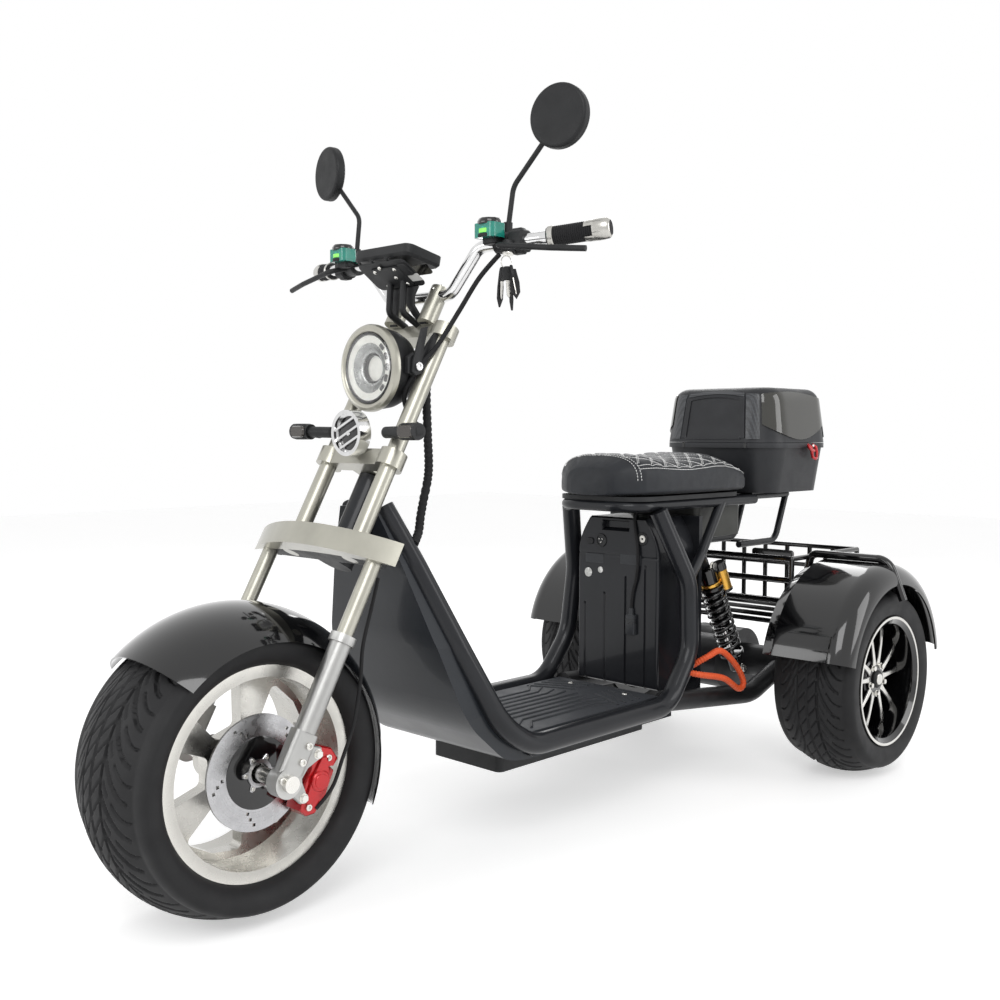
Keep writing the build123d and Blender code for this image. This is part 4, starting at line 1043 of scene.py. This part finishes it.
def battery():
    """Battery case with a cut face, and its lock, switch and port."""
    low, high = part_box("battery")
    base = low.z / MM
    front = (high.x - LEFT_HUB.x) / MM
    back = (low.x - LEFT_HUB.x) / MM
    grid = []
    for i in range(BATTERY_RISES + 1):
        z = base + (BATTERY_TOP - base) * i / BATTERY_RISES
        half = BATTERY_HALF
        if z > BATTERY_WAIST:
            t = (z - BATTERY_WAIST) / (BATTERY_TOP - BATTERY_WAIST)
            half = BATTERY_HALF - (BATTERY_HALF - BATTERY_TOP_HALF) * t ** 1.6
        row = []
        for y in (half * (-1 + 2 * j / BATTERY_ACROSS) for j in range(BATTERY_ACROSS + 1)):
            fall = max(0, BATTERY_EDGE - min(half - abs(y), BATTERY_TOP - z, z - base))
            x = front - BATTERY_EDGE + sqrt(max(0.0, BATTERY_EDGE ** 2 - fall ** 2))
            row.append((x - battery_cut(y, z), y, z))
        grid.append(row)
    rim = grid[0][:-1] + [r[-1] for r in grid[:-1]] + grid[-1][:0:-1] + [r[0] for r in grid[:0:-1]]
    rear = [(back, y, z) for _, y, z in rim]
    body = Shape("battery_case", "chassis", "frame_black", "black_plastic").origin().skin(grid)
    body.skin([rim, [(front - 7, y, z) for _, y, z in rim], rear], around=True)
    body.faces(rear, [tuple(range(len(rear)))])
    body.done(40, "black_plastic", ["battery"])
    trim = Shape("battery_ports", "chassis", "black_plastic", "zinc", "label", "polished")

    def face(y, z):
        """Work from a place on the battery's face."""
        return trim.aim(at(front, y, z), X, Y)

    face(-45, 530).drum(15.5, -1, 2.4, 40, 1.0, 11.5).drum(11.5, -1, 0.8, 32, 0.3)
    trim.use(1)
    for dy, dz in ((-4.5, 3), (4.5, 3), (0, -4.5)):
        face(-45 + dy, 530 + dz).drum(1.5, 0, 3.4, 12, 0.5)
    trim.use(0)
    face(-76, 527).slab((19, 15, 4), (0, 0, 1.2), 6, 1.2)
    face(70, 540).drum(14.5, -1, 2.2, 40, 1.0, 8.5)
    trim.use(3).drum(8.4, -1, 1.6, 32, 0.5, 2.6)
    trim.use(0).drum(2.5, -1, 0.6, 16, 0.2)
    trim.use(2)  # a dot of label, too small to see
    face(-33, 522).drum(0.1, 0, 0.2, 8, 0.05)
    trim.done(35, "black_plastic")


def battery_marks():
    """Blank round stickers and blank labels on the battery."""
    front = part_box("battery")[1].x + 0.0001
    marks = Shape("battery_labels", "chassis", "label", "grey_plastic")
    for y, z, r in ((-82, 455, 10.5), (-47, 463, 7)):
        marks.aim((front, y * MM, z * MM), X, Y).drum(r, -0.2, 0.4, 40, 0.1)
    marks.use(1)
    for y, z, wide, tall in ((-64, 488, 52, 20), (38, 492, 58, 22)):
        marks.aim((front, y * MM, z * MM), X, Y).slab((wide, tall, 0.5), (0, 0, 0), 2, 0.1)
    marks.done(35, "black_plastic")


# Leads and hoses, routed in millimetres from the rear axle or along the fork

CHARGE_LEAD = ((386, 46, 612), (428, 46, 606), (437, 50, 570), (438, 62, 520), (437, 60, 460), (436, 43, 412),
               (436, 43, 372))
CHARGE_LEAD_R = 3.5
CONDUIT = ((424, 176, 262), (402, 204, 256), (318, 207, 236), (258, 207, 204), (238, 207, 216), (270, 207, 258),
           (330, 207, 298), (376, 204, 292), (394, 178, 272))
CONDUIT_RADII = (7.0, 7.0, 5.9, 5.9)
HARNESS = ((-8, 48, 800), (-26, 58, 720), (-66, 60, 648), (-103, 60, 586), (-116, 62, 532))
HARNESS_RADII = (8.0, 8.0, 8.0, 7.0, 7.0)
NECK = (1168.6, 628.0)
HARNESS_TAIL = ((-88, 66, -6), (-76, 74, -32), (-56, 84, -52))
HOSE = ((-100, 118, -20), (-112, 122, 20), (-108, 124, 66), (-98, 130, 120), (-76, 134, 184), (-52, 134, 240),
        (-44, 128, 300), (-46, 112, 356))
PERCH_HOSE = ((1026, 206, 1072), (1037, 168, 1034), (1048, 130, 980), (1072, 102, 922), (1097, 84, 886),
              (1112, 60, 836), (1094, 56, 796), (1064, 58, 776))


def charge_lead():
    """The battery's lead and the plug at its end."""
    points = [at(*p) for p in CHARGE_LEAD]
    curve = bpy.data.curves.new("charge_lead_cord", "CURVE")
    curve.dimensions = "3D"
    spline = curve.splines.new("NURBS")
    spline.points.add(len(points) - 1)
    for spot, point in zip(spline.points, points):
        spot.co = (*point, 1)
    spline.order_u = 3
    spline.use_endpoint_u = True
    spline.resolution_u = 16
    curve.bevel_depth = CHARGE_LEAD_R * MM
    curve.bevel_resolution = 5
    curve.use_fill_caps = True
    curve.materials.append(M["rubber"])
    lead = bpy.data.objects.new("charge_lead_cord", curve)
    bpy.context.scene.collection.objects.link(lead)
    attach(lead, "chassis")
    plug = Shape("lead_plug_dressed", "chassis", "grey_plastic", "gloss_black").origin(*CHARGE_LEAD[-1])
    plug.lathe([(4.2, 14), (5.4, 12), (5.8, 1), (6.6, -0.5), (TIP, -0.5)], 24)
    plug.prism(rounded(14, 24, 3.5), -45, -0.5, 1.4)
    plug.use(1)
    for k in range(4):
        plug.slab((14.6, 24.6, 1.2), (0, 0, -10 - 3.2 * k), 3.6, 0.4)
    plug.done(35, "black_plastic")


def corrugated(shape, points, per, pitch, radii):
    """Ribbed tube along a smooth path, its radius repeating from ring to ring."""
    path = smooth_path(points, per)
    thin = [path[0]]
    for p in path:
        if (p - thin[-1]).length > pitch:
            thin.append(p)
    shape.tube(thin, [radii[k % len(radii)] for k in range(len(thin))], 18)
    return shape.done(60, "rubber")


def conduit():
    """Orange conduit that loops beside the battery."""
    corrugated(Shape("conduit_corrugated", "chassis", "orange").origin(), CONDUIT, 60, 1.3, CONDUIT_RADII)


def harness():
    """Wrapped harness that bends between the steering and the frame."""
    upper = [on_fork(*p) for p in HARNESS]
    tail = [at(NECK[0] + a, y, NECK[1] + z) for a, y, z in HARNESS_TAIL]
    wrap = Shape("harness_wrapped", None, "rubber")
    piece = corrugated(wrap, [p / MM for p in upper + tail], 40, 1.5, HARNESS_RADII)
    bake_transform(piece)


def brake_hoses():
    """Hose along the left leg and hose from the left perch."""
    hoses = Shape("brake_hoses", "steering", "rubber")
    for points, radius in (([on_fork(*p) for p in HOSE], 3.2), ([at(*p) for p in PERCH_HOSE], 4.2)):
        hoses.tube(smooth_path([p / MM for p in points], 8), radius, 12)
    hoses.done(60, "rubber")


# Wheels' faces and brakes

RIM_PROFILE = ((123, -92), (145, -92), (145, -86), (134, -84), (133, 84), (145, 86), (145, 92), (139, 92),
               (129, 85), (127, 60), (123, -60))
# Radius, half width and drop along a spoke
RIM_SPOKE = ((30, 9, 2), (48, 6.5, 1), (80, 5.5, 1), (108, 7.5, 3), (122, 11, 9), (129, 16, 12))
RIM_FACE = tuple((r, half - 1.6, drop) for r, half, drop in RIM_SPOKE)
CARRIER_SPOKE = ((20, 6, 0), (27, 4, 0), (31, 2.5, 0))
RIM_SPOKES = 10
SPOKE_LEAN = 3.15  # degrees, to either side by turns
DISC_RINGS = ((55, 62), (67, 70.5), (75.5, 79), (84, 92))
DISC_SLOTS = ((61.9, 67.1), (70.4, 75.6), (78.9, 84.1))
SLOT_WIDTH = 5.2


def block(inner, outer, low, high):
    """Profile of a flat ring."""
    return [(inner, low), (outer, low), (outer, high), (inner, high)]


def spoke(shape, table, low, high, edge=0.8):
    """One spoke along X from rows of (radius, half width, drop)."""
    shape.loft([[(r, -half, low - drop), (r, -half, high - drop - edge), (r, -half + edge, high - drop),
                 (r, half - edge, high - drop), (r, half, high - drop - edge), (r, half, low - drop)]
                for r, half, drop in table])


def rear_rims():
    """Deep dished wheels with machined spoke faces."""
    for word, hub, side in (("left", LEFT_HUB, 1), ("right", RIGHT_HUB, -1)):
        rim = Shape(word + "_rim_dressed", "rear_wheel_" + word, "gloss_black", "machined", "zinc",
                    "black_plastic")
        place = turned(hub, side * Y, X)
        rim.put(place).ring(RIM_PROFILE)
        rim.use(1).ring([(139.4, 92.1), (145.1, 92.1), (145.1, 88), (139, 88)])
        rim.use(0).drum(33, -20, 58, 48, 2, 16.2).drum(47, 40, 53, 64, 3, 16.2)
        for k in range(RIM_SPOKES):
            spin = 360 / RIM_SPOKES * k + SPOKE_LEAN * (1 if k % 2 else -1)
            rim.put(place @ Matrix.Rotation(radians(spin), 4, "Z"))
            spoke(rim.use(0), RIM_SPOKE, 34, 58)
            spoke(rim.use(1), RIM_FACE, 57.6, 59.2, 0.5)
        rim.use(3).put(place).drum(20, 50, 64, 48, 3)
        rim.use(1).drum(13, 63, 66.5, 40, 1.2)
        rim.use(2)
        for a in (radians(72 * k + 18) for k in range(5)):
            bolt(rim, place @ (Vector((33 * cos(a), 33 * sin(a), 58)) * MM), side * Y, 6, 7, "hex")
        rim.done(35, "black_wheel", ["rear_rim_" + word])


def front_disc():
    """Slotted brake ring on its black carrier."""
    disc = Shape("front_disc_dressed", "front_wheel", "steel", "gloss_black", "zinc")
    place = turned(FRONT_HUB, Y, X)
    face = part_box("front_disc")[1].y / MM
    disc.put(place)
    for inner, outer in DISC_RINGS:
        disc.ring(block(inner, outer, face - 4, face), 120)
    for row, (inner, outer) in enumerate(DISC_SLOTS):
        gap = degrees(SLOT_WIDTH / ((inner + outer) / 2))
        for k in range(5):
            disc.ring(block(inner, outer, face - 4, face), 14, start=72 * k + 6 * row + gap / 2, sweep=72 - gap)
    disc.use(1).ring([(16, face - 12), (56, face - 9), (57.5, face - 7), (57.5, face + 0.8), (55.5, face + 1.6),
                      (28, face + 2.6), (16, face + 2.6)])
    disc.use(0).ring(block(16, 22, face + 2.4, face + 5.4), 64)
    for k in range(6):
        disc.put(place @ Matrix.Rotation(radians(60 * k), 4, "Z"))
        spoke(disc.use(0), CARRIER_SPOKE, face + 2.2, face + 4.6)
        bolt(disc.use(2), disc.place @ Vector((26 * MM, 0, (face + 4.4) * MM)), Y, 3.4, 2.4)
    disc.done(35, "steel", ["front_disc"])


# Outlines along the fork, from the front axle
CALIPER = ((-52, 58), (-60, 72), (-84, 76), (-104, 66), (-102, 54), (-92, 50), (-106, 34), (-108, 16), (-98, 0),
           (-104, -14), (-102, -28), (-88, -36), (-72, -32), (-66, -14), (-60, 8), (-60, 34))
CALIPER_COVER = ((-70, 58), (-82, 62), (-92, 44), (-94, 22), (-90, 0), (-82, -20), (-72, -16), (-68, 10),
                 (-68, 36))
CALIPER_BRIDGE = ((-98, 50), (-112, 46), (-116, -10), (-98, -26))
CALIPER_LUGS = ((8, 70), (-30, 66), (-54, 70), (-62, 58), (-44, 34), (-40, 10), (-58, -4), (-66, -14), (-58, -22),
                (-30, -14), (6, -12))
CALIPER_BOSS = (-84, 22)
CALIPER_NEAR = 79
CALIPER_FAR = 118


def caliper():
    """Red caliper with its round boss, held by two grey lugs."""
    body = Shape("caliper_dressed", "steering", "red", "zinc", "cast_grey")
    ahead = FORK.to_3x3() @ X

    def cut(outline, low, high, edge, scale=1.0):
        """Prism across the fork over an outline along it."""
        body.aim(on_fork(0, 0, 0), Y, ahead).prism([(u * scale, -w) for u, w in outline], low, high, edge)

    cut(CALIPER, CALIPER_NEAR, CALIPER_FAR, 2.5)
    cut(CALIPER, 54, 65, 2.5, 0.96)
    cut(CALIPER_BRIDGE, 56, 110, 2)
    cut(CALIPER_COVER, CALIPER_FAR - 1, CALIPER_FAR + 4, 2)
    body.aim(on_fork(CALIPER_BOSS[0], CALIPER_FAR, CALIPER_BOSS[1]), Y, ahead).drum(17, 0, 7, 48, 1.6)
    body.drum(12, 6, 8.4, 40, 0.8)
    body.use(2)
    cut(CALIPER_LUGS, 121, 131, 2)
    body.use(1)
    for u, w in ((-52, 58), (-58, -12)):
        bolt(body, on_fork(u, 131, w), Y, 6.5, 5, "hex")
    for u, w in ((-84, 60), (-84, -22)):
        bolt(body, on_fork(u, CALIPER_FAR, w), Y, 5.5, 4)
    body.done(35, "red", ["caliper"])


# Frame and floor

SHOCK_TOP = (243.0, 104.0, 470.0)
SHOCK_LOW = (150.0, 132.0, 226.0)
SMALL_TOP = (292, 92, 396)
SMALL_LOW = (262, 92, 300)
COIL_TURNS = 9


def coil(radius, turns, steps, low, rise):
    """Points of a coil spring."""
    angles = [(k / (turns * steps), 2 * pi * k / steps) for k in range(turns * steps + 1)]
    return [(radius * cos(a), radius * sin(a), low + rise * t) for t, a in angles]


def shocks():
    """Coil springs over dampers, with a gold reservoir each, and a small shock inside of each."""
    unit = Shape("shocks_dressed", "chassis", "gloss_black", "gold", "zinc", "red", "white", "chrome")
    for side in SIDES:
        low, top, small_low, small_top = (Vector((x, side * y, z))
                                          for x, y, z in (SHOCK_LOW, SHOCK_TOP, SMALL_LOW, SMALL_TOP))
        long = (top - low).length
        place = turned(at(*low), top - low, (-0.85, side * 0.5, 0))
        unit.put(place).use(5).drum(7, 6, long * 0.5, 20, 0.6)
        unit.use(0).drum(18, long * 0.42, long - 18, 32, 1.5).drum(15, -6, 34, 32, 3)
        unit.drum(29, 34, 42, 48, 1.5).drum(29, long - 60, long - 52, 48, 1.5)
        unit.use(1).drum(23, long - 51, long - 44, 40, 1)
        unit.use(0).drum(21, long - 44, long - 8, 32, 2)
        unit.tube(coil(24.5, COIL_TURNS, 24, 46, long - 110), 4.1, 10)
        unit.put(place @ Matrix.Translation(Vector((34, 0, long - 78)) * MM)).use(1).drum(14.2, 4, 62, 32, 1.6)
        unit.use(0).drum(15.4, 52, 72, 32, 2).drum(15.4, 0, 7, 32, 1.5)
        unit.put(place @ Matrix.Translation(Vector((18, 0, long - 18)) * MM)).slab((34, 20, 22), (0, 0, 0), 5, 2)
        unit.use(2)
        for end, out in ((top, 21), (low, 17)):
            bolt(unit, at(*end) + side * out * MM * Y, side * Y, 8, 8, "hex")
        long = (small_top - small_low).length
        unit.aim(at(*small_low), small_top - small_low, side * Y)
        unit.use(3).drum(13, -2, 14, 32, 1).drum(13, long - 12, long + 4, 32, 1)
        unit.use(5).drum(7, -10, long + 12, 20, 0.6)
        unit.use(4).tube(coil(11, 5, 20, 15, long - 28), 2.4, 8)
    unit.done(40, "black_metal", ["shocks"])


def fasteners():
    """Bolt heads on the fork's legs and in the floor mat."""
    seated("leg_bolts", "steering", "lower_legs", [(on_fork(u, side * 260, w), -side * Y, 6, 4, "socket")
                                                   for side in SIDES for u, w in ((-8, 36), (-8, 62), (14, 0))])
    seated("floor_bolts", "chassis", "floor_mat", [(at(x, side * 76, 400), -Z, 6.5, 3.5, "round")
                                                   for x in (500, 880) for side in SIDES])


def mat_ribs():
    """Raised ribs of the floor mat, fanned at their ends."""
    ribs = Shape("mat_ribs", "chassis", "mat").origin()
    z = hit(solid("floor_mat"), at(700, 0, 400), -Z)[0].z / MM
    for y in range(-92, 93, 23):
        fan = y * 1.32
        ribs.tube([(862 - abs(y) * 0.16, fan, z), (826 - abs(y) * 0.12, y, z), (612 + abs(y) * 0.10, y, z),
                   (568 + abs(y) * 0.2, fan, z)], 3.0, 8)
    for side in SIDES:
        for x in range(472, 545, 24):
            ribs.tube([(x, side * 30, z), (x + 16, side * 74, z), (x + 44, side * 128, z)], 2.6, 8)
    ribs.done(40, "rubber")


def tail_lamp():
    """Lamp in a black housing that faces back."""
    low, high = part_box("tail_lamp")
    size = (high - low) / MM
    lamp = Shape("tail_lamp_dressed", "chassis", "gloss_black", "tail_red").aim(middle("tail_lamp"), -X, Y)
    lamp.prism(rounded(size.y, size.z, min(8, size.z / 2 - 1)), -size.x / 2, size.x * 0.12, 1.5)
    lamp.use(1).prism(rounded(size.y - 6, size.z - 6, min(6, size.z / 2 - 4)), size.x * 0.1, size.x / 2, 1.5)
    lamp.done(35, "lamp_red", ["tail_lamp"])


# Camera, light and floor

CAMERA_AT = (1.7211, 1.5552, 0.7672)
CAMERA_HEADING = radians(223.879)
CAMERA_PITCH = radians(-3.309)
CAMERA_ROLL = radians(0.1255)
CAMERA_LENS = 40.86
# Lamp name, place, target, width, height, power in watts
LAMPS = (
    ("key_lamp", (2.6, 2.2, 3.2), (0.2, 0, 0.5), 2.2, 2.2, 62),
    ("side_lamp", (-1.6, 3.4, 1.8), (0, 0, 0.4), 2.6, 1.4, 34),
    ("front_lamp", (3.6, -1.2, 1.6), (0.3, 0, 0.5), 1.2, 2.4, 26),
    ("rear_lamp", (-3.2, -2.0, 2.6), (0, 0, 0.5), 2.4, 1.6, 30),
)
WORLD_LEVEL = 0.5
FLOOR_HALF = 9.0
FLOOR_LIFT = 0.47


def placed(name, data, place):
    """New object that stands at a place."""
    made = bpy.data.objects.new(name, data)
    made.matrix_world = place
    bpy.context.scene.collection.objects.link(made)
    return made


def camera():
    """Camera fitted to the photo."""
    look = Vector((cos(CAMERA_PITCH) * cos(CAMERA_HEADING), cos(CAMERA_PITCH) * sin(CAMERA_HEADING),
                   sin(CAMERA_PITCH)))
    right = look.cross(Z).normalized()
    turn = Matrix((right, right.cross(look), -look)).transposed().to_4x4()
    lens = bpy.data.cameras.new("camera")
    lens.lens = CAMERA_LENS
    lens.sensor_width = 36
    bpy.context.scene.camera = placed("camera", lens, Matrix.Translation(CAMERA_AT) @ turn
                                      @ Matrix.Rotation(CAMERA_ROLL, 4, "Z"))


def seen(tree):
    """One for what the camera sees, straight or by gloss or glass, and zero for the light that falls."""
    path = tree.nodes.new("ShaderNodeLightPath")
    total = path.outputs["Is Camera Ray"]
    for other in ("Is Glossy Ray", "Is Transmission Ray"):
        most = tree.nodes.new("ShaderNodeMath")
        most.operation = "MAXIMUM"
        tree.links.new(total, most.inputs[0])
        tree.links.new(path.outputs[other], most.inputs[1])
        total = most.outputs["Value"]
    return total


def lights():
    """Four soft lamps in a white studio."""
    for name, place, target, width, height, power in LAMPS:
        lamp = bpy.data.lights.new(name, "AREA")
        lamp.shape = "RECTANGLE"
        lamp.size = width
        lamp.size_y = height
        lamp.energy = power
        placed(name, lamp, turned(place, Vector(place) - Vector(target)))
    world = bpy.data.worlds.new("studio")
    world.use_nodes = True
    bpy.context.scene.world = world
    tree = world.node_tree
    back = tree.nodes["Background"]
    reach = tree.nodes.new("ShaderNodeMapRange")
    reach.inputs["To Min"].default_value = WORLD_LEVEL
    reach.inputs["To Max"].default_value = 1.0
    tree.links.new(seen(tree), reach.inputs["Value"])
    tree.links.new(reach.outputs["Result"], back.inputs["Strength"])
    back.inputs["Color"].default_value = (1, 1, 1, 1)


def floor():
    """White floor that the camera sees a little brighter than it is lit."""
    mesh = bpy.data.meshes.new("floor")
    corners = [(x * FLOOR_HALF, y * FLOOR_HALF, 0) for x, y in ((-1, -1), (1, -1), (1, 1), (-1, 1))]
    mesh.from_pydata(corners, [], [(0, 1, 2, 3)])
    made = Finish("pale_floor", (0.86, 0.86, 0.86), 0.7).mottle(2.0, 0.01).grain(60, 0.05, 0.0005)
    lift = made.node("ShaderNodeMath", seen(made.tree), FLOOR_LIFT, operation="MULTIPLY").outputs["Value"]
    made.set(Emission_Strength=lift, Emission_Color=(1, 1, 1, 1))
    mesh.materials.append(made.mat)
    placed("floor", mesh, Matrix.Identity(4))


for make in (tyres, headlight, horn_and_signals, instrument, bar_bolts, grips, fluid_cups, switches, mirrors, keys,
             seat, stitches, top_box, battery, charge_lead, conduit, harness, fasteners, rear_rims, front_disc,
             shocks, mat_ribs, tail_lamp, latch_lever, battery_marks, caliper, brake_hoses, camera, lights, floor):
    make()
bpy.context.scene.view_settings.view_transform = "Standard"
